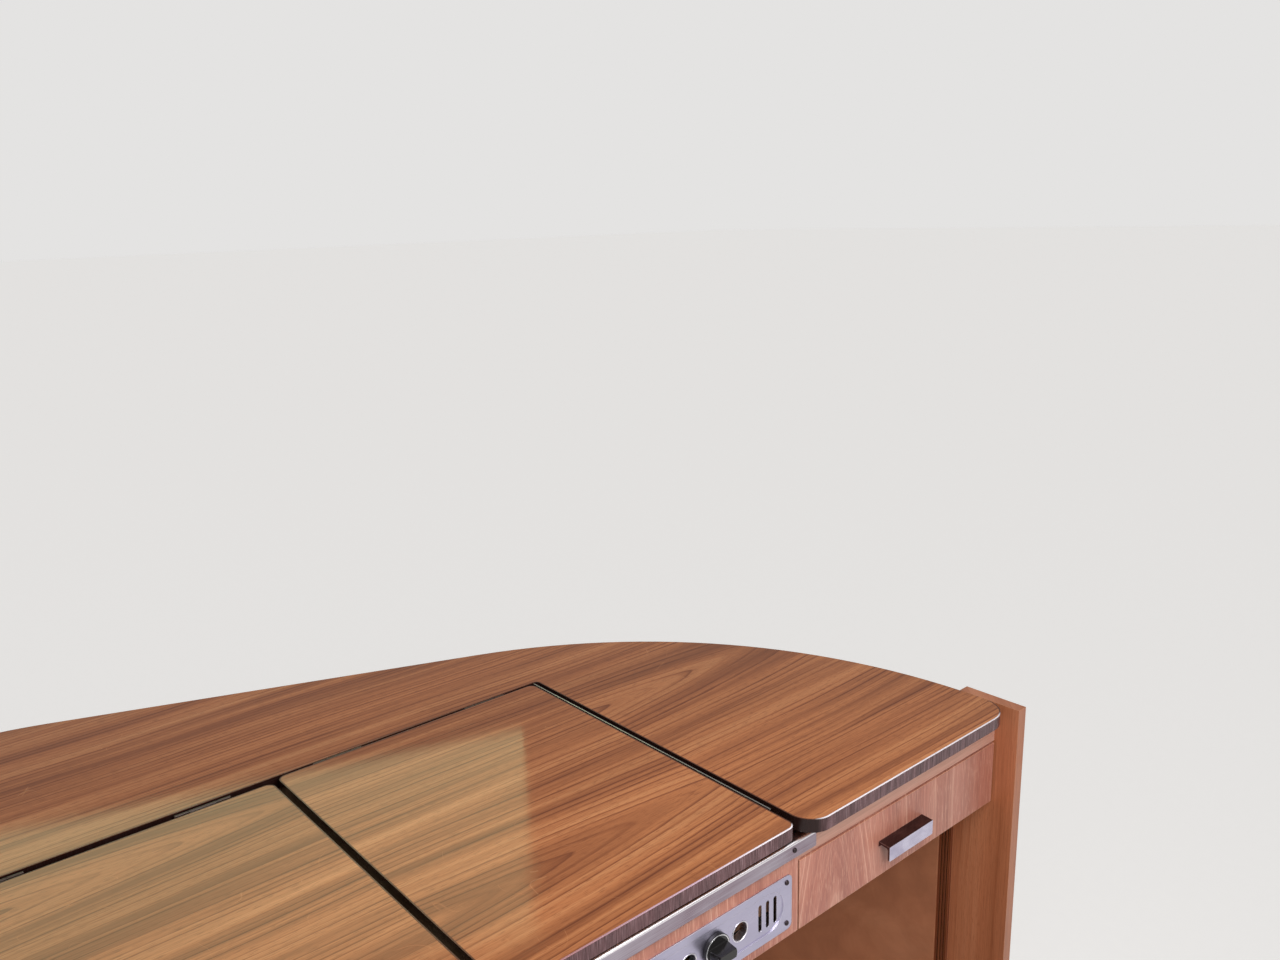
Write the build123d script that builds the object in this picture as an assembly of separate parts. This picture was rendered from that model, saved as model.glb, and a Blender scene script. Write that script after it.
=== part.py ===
from build123d import *
import os

# Kitchen unit of a touring caravan: a base cabinet under a fixed worktop, with two lift-up
# lids over a hob and a sink, a gas control panel, a drawer, an open bay and a two-door cupboard.
# Millimetres. +X is to the right along the counter, -Y is the front, +Z is up.
# The origin is on the floor, under the middle of the unit's bounding box.

# Overall
unit_width = 1200.0
unit_depth = 850.0
unit_height = 880.0

# Boards
board = 15.5                # worktop and lids, laminated
carcass = 16.0              # end panels, partition, fascia, doors
light_board = 12.0          # sub-top, drawer cheek and drawer sides
lining_thickness = 4.0      # vinyl-faced hardboard that follows the caravan's wall
edging_thickness = 1.5      # plastic edging glued round the laminated boards
plinth_height = 80.0
plinth_recess = 50.0

# Room outline that the back of the unit follows
side_board_width = 83.5     # board on the side wall, in front of the bay
wall_straight = 51.5        # the side wall runs straight for this far behind the side board's edge
wall_slope_deg = 21.3       # the end wall runs back to the left at this angle
wall_corner_radius = 613.0
wall_bow_radius = 400.0

# Front planes
worktop_setback = 9.0       # worktop edge behind the side board's edge
lid_setback = 11.5          # lid edge behind the worktop edge
fascia_setback = 20.5       # fascia and drawer faces behind the worktop edge
rail_recess = 2.0           # top rail behind the drawer face

# Worktop and lids
lid_run = 489.5             # from the side board's edge to the fixed strip behind the lids
corner_width = 380.0        # fixed section on the right
left_margin = 70.0          # fixed section on the left
corner_gap = 10.0           # gap between the right lid and the fixed section
lid_spacing = 8.2           # gap between the two lids
margin_gap = 8.8            # gap between the left lid and the fixed left margin
lid_gap_left = 11.5         # gap behind the left lid
lid_gap_right = 4.0         # gap behind the right lid
lid_radius = 10.0
worktop_front_radius = 28.0
worktop_end_radius = 38.0
inner_corner_radius = 6.0
profile_thickness = 1.5     # metal profile in the gap beside the right lid
profile_gap = 3.4           # from the lid to the profile
profile_short = 40.0        # the profile stops this far behind the lid's front edge

# Front band of fascia, drawer and rail, below the worktop's top face
front_band_top = 53.0
front_band_bottom = 135.0
rail_gap = 1.5              # between the rail and the drawer
drawer_inset = 5.5          # from the fixed section's left edge to the drawer
drawer_gap = 2.5            # between the fascia and the drawer
drawer_end_gap = 3.0        # between the drawer and the side board
door_gap = 5.0

# Inner walls
partition_reach = 111.0     # from the fixed section's left edge to the partition
cheek_left_reach = 8.0      # and to the left cheek
cheek_right_reach = 76.0    # from the side board's inner face to the right cheek
back_rail_gap = 2.0         # from the lid hinges' leaves to the rail behind them
partition_notch = 110.0     # the partition is cut down this far below the top, under the hob
shelf_z = 430.0
shelf_setback = 40.0

# Reveal moulding between the side board and the lining
reveal_width = 18.0
reveal_depth = 20.0
groove_width = 2.4
groove_depth = 3.0
groove_count = 3

# Steel hob and sink tops
steel = 1.0
flange_top = 23.0           # below the worktop's top face
lip_height = 18.0
lip_proud = 5.0             # lip in front of the fascia
lip_roll = 3.0
hob_lip_reach = 26.0        # the hob's lip runs on under the worktop's corner
hob_tab_depth = 19.0
hob_screw_inset = 34.0
hob_recess_side = 26.75     # from a lid's side edges to the recess under it
hob_recess_front = 54.5     # from the lids' front edge
hob_recess_back = 34.5      # from the fixed strip
hob_recess_drop = 34.0
hob_recess_radius = 25.0
flange_margin = 4.0         # from a lid's edge to the steel flange under it
bowl_side = 31.75           # from a lid's side edges to the bowl under it
bowl_front = 59.5           # from the lids' front edge
bowl_depth = 280.0
bowl_drop = 130.0
bowl_radius = 50.0
ledge_back = 29.5           # from the fixed strip
ledge_drop = 46.0
cutout_clearance = 1.0

# Burners and wire support
burners = [(-0.284, 0.276, 40.0), (0.249, 0.737, 32.0)]    # across and along the recess, cap radius
burner_base_height = 14.0
burner_cap_height = 6.0
wire_radius = 3.0
wire_top_gap = 2.5          # from the wire support's top to the flange's level
support_inset = 12.0
support_bend = 20.0
cross_bar_radius = 2.75
finger_radius = 2.4
foot_inset = 60.0
finger_reach = 0.55         # of a cap's radius, left free over the burner

# Control plate, from its right-hand end
plate_reach = 8.0           # from the fixed section's left edge to the plate
plate_length = 256.0
plate_height = 64.0
plate_thickness = 1.5
plate_radius = 7.0
plate_centre_drop = 92.0
emboss_height = 50.0
emboss_inset = 10.5
emboss_depth = 1.2
slot_first_inset = 24.5
slot_pitch = 11.3
slot_count = 3
slot_length = 31.0
slot_width = 5.0
screw_inset = 8.0
screw_spread = 48.0
screw_hole_radius = 1.6
sight_hole_radius = 10.5
sight_hole_inset = 76.3
control_pitch = 35.6        # hole, knob, hole, knob, hole
knob_radius = 13.5
knob_skirt_radius = 16.5
knob_length = 19.0
knob_skirt_height = 4.0
knob_waist = 0.72           # width of the grip across the knob, of its radius
knob_shaft_radius = 4.0
knob_shaft_length = 8.0
valve_radius = 9.0
valve_length = 40.0
valve_boss_radius = 6.0
valve_boss_height = 12.0

# Handles: pulls cut from an extruded aluminium section
handle_length = 83.0
handle_projection = 15.5
handle_drop = 18.0
handle_web = 3.2            # thickness of the top plate
handle_wall = 2.4           # thickness of the front plate
handle_foot = 6.5           # height of the foot on the face
handle_foot_depth = 4.0
handle_fillet = 3.0         # inside, between the two plates
handle_radius = 1.5         # lower corners of the front plate
handle_dip = 1.0            # the top plate falls this much towards the front
drawer_handle_drop = 90.0
drawer_handle_reach = 177.5   # from the drawer's left edge to the handle's middle
door_handle_drop = 60.0
door_handle_inset = 30.0

# Drawer box and runners
drawer_side = 12.0
drawer_back = 10.0
drawer_bottom = 4.0
drawer_box_height = 66.0
drawer_box_depth = 280.0
drawer_box_lift = 5.0       # from the front panel's lower edge to the sides
runner_height = 10.0
runner_play = 0.3
runner_depth = 6.0
runner_setback = 4.0        # the runner starts this far behind the drawer's front panel
cheek_clearance = 7.0
bottom_groove_lift = 8.0
bottom_groove_depth = 5.0

# Hinges
lid_barrel_radius = 1.5
lid_hinge_length = 60.0
lid_hinge_inset = 75.0
lid_leaf_reach = 22.0
lid_leaf = 1.0
door_barrel_radius = 3.0
door_hinge_length = 50.0
door_hinge_inset = 90.0
door_leaf = 1.5
door_edge_gap = 4.0         # from a door hinge's axis to the door's edge
door_back_gap = 2.0         # door's back face in front of the carcass
door_axis_gap = 0.5         # from a door hinge's leaf to the end panel's face
door_leaf_gap = 1.0         # between the two leaves when the door is shut
knuckle_gap = 0.5
pin_play = 0.08

# Tap and services
tap_back = 35.0             # from the ledge's back wall
tap_base_radius = 17.0
tap_base_height = 5.0
tap_body_radius = 11.0
tap_tail_radius = 5.0
tap_tail_length = 40.0
tap_seat = 1.0              # from the tap's body to the underside of the spout's pipe
spout_radius = 6.0
spout_reach = 125.0
spout_nozzle = 18.0
spout_bend = 11.0
spout_top_gap = 6.0         # from the spout's top to the flange's level
waste_radius = 12.5
waste_length = 70.0
waste_rim = 2.0
waste_nut = 8.0
waste_wall = 2.0
strainer_bar = 2.4
gas_radius = 4.0
gas_drop = 150.0
manifold_depth = 10.0
feed_bend = 10.0
pipe_clearance = 30.0
pipe_bend = 20.0
buffer_radius = 6.0
buffer_inset = 14.0
buffer_back_inset = 30.0
service_gap = 10.0          # round each pipe, in the floor board and the shelf under it
seat_gap = 0.3
fixing_radius = 2.5
fixing_inset_y = 300.0
fixing_inset_z = 250.0

# Derived planes
x_left = -unit_width / 2
x_right = unit_width / 2
y_front = -unit_depth / 2
y_back = unit_depth / 2
top = unit_height
board_under = top - board
side_face = x_right - carcass
worktop_front = y_front + worktop_setback
lid_front = worktop_front + lid_setback
fascia_face = worktop_front + fascia_setback
carcass_front = fascia_face + carcass
rail_face = fascia_face + rail_recess
band_top = top - front_band_top
band_bottom = top - front_band_bottom
flange_level = top - flange_top
subtop_top = flange_level - steel
subtop_under = subtop_top - light_board
floor_top = plinth_height + carcass
inner_left = x_left + carcass
strip_front_y = y_front + lid_run
corner_left_x = side_face - corner_width
margin_right = x_left + left_margin
lid_width = (corner_left_x - corner_gap - lid_spacing - margin_gap - margin_right) / 2
lid_left_x0 = margin_right + margin_gap
lid_right_x0 = lid_left_x0 + lid_width + lid_spacing
partition_x = corner_left_x - partition_reach
cheek_left_x = corner_left_x - cheek_left_reach
cheek_right_x = side_face - cheek_right_reach
drawer_left_x = corner_left_x + drawer_inset
hob_lip_end_x = corner_left_x + hob_lip_reach
plate_right_x = corner_left_x - plate_reach
lip_face = fascia_face - lip_proud
back_rail_y = strip_front_y + lid_leaf_reach + back_rail_gap
hob_x0 = lid_right_x0 + hob_recess_side
hob_x1 = lid_right_x0 + lid_width - hob_recess_side
hob_y0 = lid_front + hob_recess_front
hob_y1 = strip_front_y - hob_recess_back
bowl_x0 = lid_left_x0 + bowl_side
bowl_x1 = lid_left_x0 + lid_width - bowl_side
bowl_mid_x = (bowl_x0 + bowl_x1) / 2
bowl_front_y = lid_front + bowl_front
bowl_back_y = bowl_front_y + bowl_depth
ledge_back_y = strip_front_y - ledge_back
tap_x = bowl_mid_x
tap_y = ledge_back_y - tap_back
waste_y = (bowl_front_y + bowl_back_y) / 2
gas_x = plate_right_x - sight_hole_inset - 2 * control_pitch
gas_y = hob_y1 + pipe_bend
services = [
    (bowl_mid_x, waste_y, waste_radius),
    (tap_x, tap_y, tap_tail_radius),
    (gas_x, gas_y, gas_radius),
]

nodes = {}


def block(x0, x1, y0, y1, z0, z1):
    """A board or bar between two corners."""
    centre = ((x0 + x1) / 2, (y0 + y1) / 2, (z0 + z1) / 2)
    return Pos(*centre) * Box(x1 - x0, y1 - y0, z1 - z0)


def plate_xz(sketch, y, thickness):
    """A flat piece drawn in x and z, its front face at y, running back by its thickness."""
    plane = Plane(origin=(0, y, 0), x_dir=(1, 0, 0), z_dir=(0, -1, 0))
    return extrude(plane * sketch, amount=-thickness)


def rounded(x0, x1, y0, y1, radius):
    """A rectangle with round corners, drawn between two corners."""
    centre = ((x0 + x1) / 2, (y0 + y1) / 2)
    return Pos(*centre) * RectangleRounded(x1 - x0, y1 - y0, radius)


def room_outline(inset, front, left):
    """The floor area in front of the caravan's wall, drawn in plan and set in by a distance."""
    direction = Vector(1, 0).rotate(Axis.Z, -wall_slope_deg)
    normal = Vector(0, 1).rotate(Axis.Z, -wall_slope_deg)
    arc_centre = Vector(side_face - wall_corner_radius, y_front + wall_straight)
    point = arc_centre + normal * (wall_corner_radius - inset)
    right = side_face - inset
    back = y_back - inset
    bow_x = point.X + (back - point.Y) * direction.X / direction.Y
    corner_y = point.Y + (right - point.X) * direction.Y / direction.X
    far_left = 2 * x_left
    far_front = 2 * y_front
    corners = [(far_left, far_front), (right, far_front), (right, corner_y), (bow_x, back), (far_left, back)]
    area = make_face(Polyline(*corners, close=True))
    corner = area.vertices().sort_by_distance((right, corner_y))[0]
    area = fillet(corner, wall_corner_radius - inset)
    bow = area.vertices().sort_by_distance((bow_x, back))[0]
    area = fillet(bow, wall_bow_radius - inset)
    window = Pos((left + right) / 2, (front + back) / 2) * Rectangle(right - left, back - front)
    return area & window


def edge_band(area, thickness):
    """A band of the given thickness just inside an area's outline."""
    return area - offset(area, -thickness, kind=Kind.INTERSECTION)


def knuckle_hinge(length, barrel, gap, spread):
    """Barrel knuckles of a hinge on the Z axis: the two outer ones, and the middle one."""
    outer_length = (length - spread) / 2 - gap
    ends = Part()
    for side in (-1, 1):
        place = side * (length - outer_length) / 2
        ends += Pos(0, 0, place) * Cylinder(barrel, outer_length)
    ends += Cylinder(barrel / 2, length)
    middle = Cylinder(barrel, spread) - Cylinder(barrel / 2 + pin_play, spread)
    return ends, middle


# Carcass: floor board, plinth, end panels, partition, shelf, cheeks and rails
floor_area = room_outline(lining_thickness, carcass_front, inner_left)
floor_board = Pos(0, 0, plinth_height) * extrude(floor_area, amount=carcass)
for fixing_x in (-fixing_inset_y, fixing_inset_y):
    for fixing_y in (-fixing_inset_y, 0.0):
        floor_board -= Pos(fixing_x, fixing_y, plinth_height) * Cylinder(fixing_radius, 4 * carcass)
service_holes = Part()
for pipe_x, pipe_y, pipe_radius in services:
    service_holes += Pos(pipe_x, pipe_y, top / 2) * Cylinder(pipe_radius + service_gap, top)
nodes["floor_board"] = floor_board - service_holes

plinth_face = fascia_face + plinth_recess
nodes["plinth"] = block(inner_left, side_face, plinth_face, plinth_face + carcass, 0, plinth_height)

end_panel = block(x_left, inner_left, carcass_front, y_back - lining_thickness, 0, board_under)
for fixing_y in (-fixing_inset_y, fixing_inset_y):
    for fixing_z in (-fixing_inset_z, fixing_inset_z):
        hole = Rot(0, 90, 0) * Cylinder(fixing_radius, 4 * carcass)
        end_panel -= Pos(x_left, fixing_y, top / 2 + fixing_z) * hole
nodes["end_panel"] = end_panel

room_inside = extrude(room_outline(lining_thickness, carcass_front, inner_left), amount=top)
partition = block(partition_x, partition_x + carcass, carcass_front, y_back, floor_top, subtop_under)
partition -= block(
    partition_x, partition_x + carcass, carcass_front, hob_y1 + pipe_clearance, top - partition_notch, top
)
nodes["partition"] = partition & room_inside

shelf = block(inner_left, partition_x, carcass_front + shelf_setback, y_back, shelf_z, shelf_z + light_board)
nodes["cupboard_shelf"] = (shelf & room_inside) - service_holes

cheek_back = back_rail_y + carcass
nodes["cheek_left"] = block(
    cheek_left_x, cheek_left_x + carcass, carcass_front, cheek_back, band_bottom, board_under
)
cheek_right = block(
    cheek_right_x, cheek_right_x + light_board, carcass_front, y_back, band_bottom, board_under
)
nodes["cheek_right"] = cheek_right & room_inside
nodes["back_rail"] = block(
    inner_left, cheek_left_x, back_rail_y, cheek_back, subtop_under, board_under
)

rail_left = drawer_left_x - drawer_gap / 2
rail_bottom = band_top + rail_gap
top_rail = block(rail_left, side_face, rail_face, carcass_front, rail_bottom, board_under)
rail_notch_top = subtop_top - 1.0
top_rail -= block(rail_left, hob_lip_end_x + 1.0, rail_face, carcass_front, rail_notch_top, top)
nodes["top_rail"] = top_rail

# Side board on the right, the grooved reveal behind it, and the lining that follows the wall
nodes["side_board"] = block(side_face, x_right, y_front, y_front + side_board_width, 0, top)

reveal_front = y_front + side_board_width
reveal_x = x_right - reveal_depth
reveal = block(reveal_x, x_right, reveal_front, reveal_front + reveal_width, floor_top, board_under)
groove_pitch = reveal_width / (groove_count + 1)
for groove in range(groove_count):
    groove_y = reveal_front + (groove + 1) * groove_pitch
    reveal -= block(
        reveal_x,
        reveal_x + groove_depth,
        groove_y - groove_width / 2,
        groove_y + groove_width / 2,
        floor_top,
        board_under,
    )
nodes["reveal_moulding"] = reveal

lining_front = reveal_front + reveal_width
outer_area = room_outline(0.0, lining_front, x_left)
inner_area = room_outline(lining_thickness, lining_front - 1.0, x_left - 1.0)
nodes["wall_lining"] = extrude(outer_area - inner_area, amount=board_under)

# Fascia that carries the control plate, cut down under the steel lips
fascia_right = drawer_left_x - drawer_gap
lip_left_x0 = lid_left_x0 + flange_margin
plate_left_x = plate_right_x - plate_length
plate_mid_x = (plate_left_x + plate_right_x) / 2
plate_mid_z = top - plate_centre_drop
emboss_length = plate_length - 2 * emboss_inset
field_window = Pos(plate_mid_x, plate_mid_z) * SlotOverall(
    emboss_length + 2 * seat_gap, emboss_height + 2 * seat_gap
)
fascia = block(x_left, fascia_right, fascia_face, carcass_front, band_bottom, board_under)
fascia -= block(
    lip_left_x0 - 1.0, fascia_right, fascia_face, carcass_front, subtop_top - seat_gap, top
)
fascia -= plate_xz(field_window, fascia_face, carcass)
nodes["fascia"] = fascia

# Sub-top under the lids, with cut-outs for the steel hob and sink
sub_top = block(inner_left, cheek_left_x, carcass_front, back_rail_y, subtop_under, subtop_top)
gap = steel + cutout_clearance
cutouts = rounded(
    hob_x0 - gap, hob_x1 + gap, hob_y0 - gap, hob_y1 + gap, hob_recess_radius + gap
)
cutouts += rounded(
    bowl_x0 - gap, bowl_x1 + gap, bowl_front_y - gap, ledge_back_y + gap, bowl_radius + gap
)
sub_top -= extrude(Pos(0, 0, subtop_under) * cutouts, amount=light_board)
nodes["sub_top"] = sub_top

# Fixed worktop: left margin, back strip and right-hand section in one board
worktop_area = room_outline(0.0, worktop_front, x_left)
lids_area = Pos((margin_right + corner_left_x) / 2, (strip_front_y + 2 * y_front) / 2) * Rectangle(
    corner_left_x - margin_right, strip_front_y - 2 * y_front
)
worktop_area -= lids_area
worktop_radii = [
    (margin_right, worktop_front, worktop_front_radius),
    (corner_left_x, worktop_front, worktop_front_radius),
    (side_face, worktop_front, worktop_end_radius),
    (margin_right, strip_front_y, inner_corner_radius),
    (corner_left_x, strip_front_y, inner_corner_radius),
]
for corner_x, corner_y, radius in worktop_radii:
    corner = worktop_area.vertices().sort_by_distance((corner_x, corner_y))[0]
    worktop_area = fillet(corner, radius)
# The edging is on the edges that face the room, up to the side board and the left end
edging_back = strip_front_y + inner_corner_radius
keep = Pos((x_left + side_face) / 2, (worktop_front + edging_back) / 2) * Rectangle(
    side_face - x_left - 2 * edging_thickness, edging_back - worktop_front
)
end_run = Pos(side_face, edging_back) * Rectangle(
    2 * worktop_end_radius, 2 * (edging_back - worktop_front - worktop_end_radius)
)
wall_run = Pos(side_face, edging_back) * Rectangle(
    side_face - corner_left_x, 2 * (edging_back - worktop_front - 2 * worktop_end_radius)
)
edging_area = (edge_band(worktop_area, edging_thickness) & keep) - end_run - wall_run
nodes["worktop_edging"] = extrude(Pos(0, 0, board_under) * edging_area, amount=board)
nodes["worktop"] = extrude(Pos(0, 0, board_under) * (worktop_area - edging_area), amount=board)

profile_x = lid_right_x0 + lid_width + profile_gap
nodes["gap_profile"] = block(
    profile_x,
    profile_x + profile_thickness,
    lid_front + profile_short,
    strip_front_y - seat_gap,
    board_under,
    top - 1.0,
)


# Steel hob top: flange with a rolled front lip, and a recessed pan
def front_lip(x0, x1):
    """The flange's front edge, rolled over and turned down in front of the fascia."""
    low = flange_level - lip_height
    lip = block(x0, x1, lip_face, lip_face + steel, low, flange_level)
    lip += block(x0, x1, lip_face, lip_face + 2 * lip_roll, flange_level - steel, flange_level)
    inner = (x0, lip_face + steel, flange_level - steel)
    lip = fillet(lip.edges().filter_by(Axis.X).sort_by_distance(inner)[0], lip_roll - steel)
    outer = (x0, lip_face, flange_level)
    return fillet(lip.edges().filter_by(Axis.X).sort_by_distance(outer)[0], lip_roll)


hob_flange_x0 = lid_right_x0 + flange_margin
hob_flange_x1 = lid_right_x0 + lid_width - 2 * flange_margin
flange_back = strip_front_y - lid_gap_left - flange_margin
hob_top = block(hob_flange_x0, hob_flange_x1, lip_face + lip_roll, flange_back, subtop_top, flange_level)
hob_top += block(
    hob_flange_x0, hob_lip_end_x, lip_face + lip_roll, lip_face + hob_tab_depth, subtop_top, flange_level
)
hob_top += front_lip(hob_flange_x0, hob_lip_end_x)
pan_outer = rounded(
    hob_x0 - steel, hob_x1 + steel, hob_y0 - steel, hob_y1 + steel, hob_recess_radius + steel
)
pan_inner = rounded(hob_x0, hob_x1, hob_y0, hob_y1, hob_recess_radius)
pan_floor = flange_level - hob_recess_drop
hob_top += extrude(Pos(0, 0, pan_floor - steel) * pan_outer, amount=hob_recess_drop + steel)
hob_top -= extrude(Pos(0, 0, pan_floor) * pan_inner, amount=2 * hob_recess_drop)
screw_x = hob_lip_end_x - hob_screw_inset
hob_top -= Pos(screw_x, lip_face, flange_level - lip_height / 2) * Rot(90, 0, 0) * Cylinder(
    screw_hole_radius, 3 * steel
)
nodes["hob_top"] = hob_top

# Burners on the pan's floor, and the wire support over them
burner_spots = []
for across, along, cap_radius in burners:
    burner_x = (hob_x0 + hob_x1) / 2 + across * (hob_x1 - hob_x0)
    burner_y = hob_y0 + along * (hob_y1 - hob_y0)
    burner_spots.append((burner_x, burner_y, cap_radius))
burner_bases = Part()
burner_caps = Part()
for burner_x, burner_y, cap_radius in burner_spots:
    base = Pos(burner_x, burner_y, pan_floor + burner_base_height / 2) * Cone(
        cap_radius * 1.1, cap_radius * 0.85, burner_base_height
    )
    cap = Pos(burner_x, burner_y, pan_floor + burner_base_height + burner_cap_height / 2) * Cylinder(
        cap_radius, burner_cap_height
    )
    cap = fillet(cap.edges().sort_by(Axis.Z)[-1], burner_cap_height * 0.4)
    burner_bases += base
    burner_caps += cap
nodes["burner_bases"] = burner_bases
nodes["burner_caps"] = burner_caps

wire_z = flange_level - wire_top_gap - wire_radius
wire_x0 = hob_x0 + support_inset
wire_x1 = hob_x1 - support_inset
wire_y0 = hob_y0 + support_inset
wire_y1 = hob_y1 - support_inset
wire_mid_y = (wire_y0 + wire_y1) / 2


def wire(start, end, radius):
    """A straight round wire between two points."""
    run = Vector(*end) - Vector(*start)
    plane = Plane(origin=start, z_dir=run)
    return extrude(plane * Circle(radius), amount=run.length)


ring_area = rounded(wire_x0, wire_x1, wire_y0, wire_y1, support_bend)
ring_path = Pos(0, 0, wire_z) * ring_area.wire()
ring_plane = Plane(ring_path @ 0, z_dir=ring_path % 0)
support = sweep(ring_plane * Circle(wire_radius), path=ring_path)
support += wire((wire_x0, wire_mid_y, wire_z), (wire_x1, wire_mid_y, wire_z), cross_bar_radius)
for foot_x in (wire_x0, wire_x1):
    for foot_y in (wire_y0 + foot_inset, wire_y1 - foot_inset):
        support += wire((foot_x, foot_y, wire_z), (foot_x, foot_y, pan_floor), finger_radius)
for burner_x, burner_y, cap_radius in burner_spots:
    free = cap_radius * finger_reach
    y_low = wire_y0 if burner_y < wire_mid_y else wire_mid_y
    y_high = wire_mid_y if burner_y < wire_mid_y else wire_y1
    fingers = [
        ((wire_x0, burner_y), (burner_x - free, burner_y)),
        ((wire_x1, burner_y), (burner_x + free, burner_y)),
        ((burner_x, y_low), (burner_x, burner_y - free)),
        ((burner_x, y_high), (burner_x, burner_y + free)),
    ]
    for start, end in fingers:
        support += wire((*start, wire_z), (*end, wire_z), finger_radius)
nodes["pan_support"] = support

# Control plate with its pressed-in field, slots, sight holes and knobs
plate_sketch = Pos(plate_mid_x, plate_mid_z) * RectangleRounded(plate_length, plate_height, plate_radius)
emboss = Pos(plate_mid_x, plate_mid_z) * SlotOverall(emboss_length, emboss_height)
holes = Sketch()
for slot in range(slot_count):
    slot_x = plate_right_x - slot_first_inset - slot * slot_pitch
    holes += Pos(slot_x, plate_mid_z) * Rot(0, 0, 90) * SlotOverall(slot_length, slot_width)
knob_places = []
for step in range(5):
    place_x = plate_right_x - sight_hole_inset - step * control_pitch
    if step % 2:
        knob_places.append(place_x)
        holes += Pos(place_x, plate_mid_z) * Circle(knob_shaft_radius + 1.0)
    else:
        holes += Pos(place_x, plate_mid_z) * Circle(sight_hole_radius)
screw_holes = Sketch()
for screw_side_x in (plate_left_x + screw_inset, plate_right_x - screw_inset):
    for screw_side in (-1, 1):
        screw_z = plate_mid_z + screw_side * screw_spread / 2
        screw_holes += Pos(screw_side_x, screw_z) * Circle(screw_hole_radius)
plate_y = fascia_face - plate_thickness
control_plate = plate_xz(plate_sketch - screw_holes - holes, plate_y, plate_thickness)
field_y = plate_y + emboss_depth
control_plate += plate_xz(emboss - holes, field_y, plate_thickness)
control_plate -= plate_xz(
    Pos(plate_mid_x, plate_mid_z) * SlotOverall(emboss_length - 4.0, emboss_height - 4.0),
    field_y - plate_thickness,
    plate_thickness,
)
nodes["control_plate"] = control_plate

knob_face = field_y - seat_gap
boss_y = field_y + plate_thickness + valve_length - valve_boss_radius
boss_top = plate_mid_z + valve_boss_height
knobs = Part()
valves = Part()
for knob_x in knob_places:
    place = Pos(knob_x, knob_face, plate_mid_z) * Rot(90, 0, 0)
    skirt = Pos(0, 0, knob_skirt_height / 2) * Cylinder(knob_skirt_radius, knob_skirt_height)
    grip = Pos(0, 0, knob_length / 2) * Cone(knob_radius, knob_radius * 0.86, knob_length)
    waist = Pos(0, 0, knob_length / 2) * Box(2.2 * knob_radius, knob_radius * knob_waist, knob_length)
    knobs += place * (skirt + (grip & waist))
    shaft_place = Pos(knob_x, knob_face, plate_mid_z) * Rot(-90, 0, 0)
    shaft = Pos(0, 0, knob_shaft_length / 2) * Cylinder(knob_shaft_radius, knob_shaft_length)
    body = Pos(0, 0, seat_gap + plate_thickness + valve_length / 2) * Cylinder(valve_radius, valve_length)
    boss = Pos(knob_x, boss_y, plate_mid_z + valve_boss_height / 2) * Cylinder(
        valve_boss_radius, valve_boss_height
    )
    valves += shaft_place * (shaft + body) + boss
nodes["control_knobs"] = knobs
nodes["gas_valves"] = valves

# Gas supply: a manifold behind the valves and its inlet pipe, and a feed from each valve to a burner
manifold_y0 = field_y + plate_thickness + valve_length
manifold_y1 = manifold_y0 + manifold_depth
manifold_half = control_pitch + valve_radius
manifold = block(
    gas_x - manifold_half,
    gas_x + manifold_half,
    manifold_y0,
    manifold_y1,
    plate_mid_z - manifold_depth / 2,
    plate_mid_z + manifold_depth / 2,
)


def pipe(points, radius, bend):
    """A bent round pipe along a line of points."""
    route = FilletPolyline(*points, radius=bend)
    return sweep(Plane(route @ 0, z_dir=route % 0) * Circle(radius), path=route)


supply = [
    (gas_x, manifold_y1 - 1.0, plate_mid_z),
    (gas_x, gas_y, plate_mid_z),
    (gas_x, gas_y, plate_mid_z - gas_drop),
]
nodes["gas_pipe"] = manifold + pipe(supply, gas_radius, pipe_bend)

feeds = Part()
feed_z = boss_top + feed_bend
for knob_x, (burner_x, burner_y, cap_radius) in zip(reversed(knob_places), burner_spots):
    feed = [
        (knob_x, boss_y, boss_top),
        (knob_x, boss_y, feed_z),
        (burner_x, burner_y, feed_z),
        (burner_x, burner_y, pan_floor - steel),
    ]
    feeds += pipe(feed, gas_radius, feed_bend - 1.0)
nodes["gas_feeds"] = feeds

# Steel sink: flange, lip and shallow ledge for the tap, and a deep bowl welded under it
sink_flange_x1 = lid_left_x0 + lid_width - flange_margin
sink_top = block(lip_left_x0, sink_flange_x1, lip_face + lip_roll, flange_back, subtop_top, flange_level)
sink_top += front_lip(lip_left_x0, sink_flange_x1)
bowl_floor = flange_level - bowl_drop
ledge_floor = flange_level - ledge_drop
deep = (bowl_front_y, bowl_back_y, bowl_floor)
shallow = (bowl_front_y, ledge_back_y, ledge_floor)
for y0, y1, floor_z in (deep, shallow):
    shell = rounded(bowl_x0 - steel, bowl_x1 + steel, y0 - steel, y1 + steel, bowl_radius + steel)
    sink_top += extrude(Pos(0, 0, floor_z - steel) * shell, amount=flange_level - floor_z + steel)
for y0, y1, floor_z in (deep, shallow):
    hollow = rounded(bowl_x0, bowl_x1, y0, y1, bowl_radius)
    sink_top -= extrude(Pos(0, 0, floor_z) * hollow, amount=2 * bowl_drop)
sink_top -= Pos(bowl_mid_x, waste_y, bowl_floor) * Cylinder(waste_radius + 1.0, 4 * steel)
sink_top -= Pos(tap_x, tap_y, ledge_floor) * Cylinder(tap_tail_radius + 1.0, 4 * steel)
deep_part = block(x_left, x_right, y_front, y_back, 0.0, ledge_floor - steel)
nodes["sink_top"] = sink_top - deep_part
nodes["sink_bowl"] = sink_top & deep_part

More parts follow.
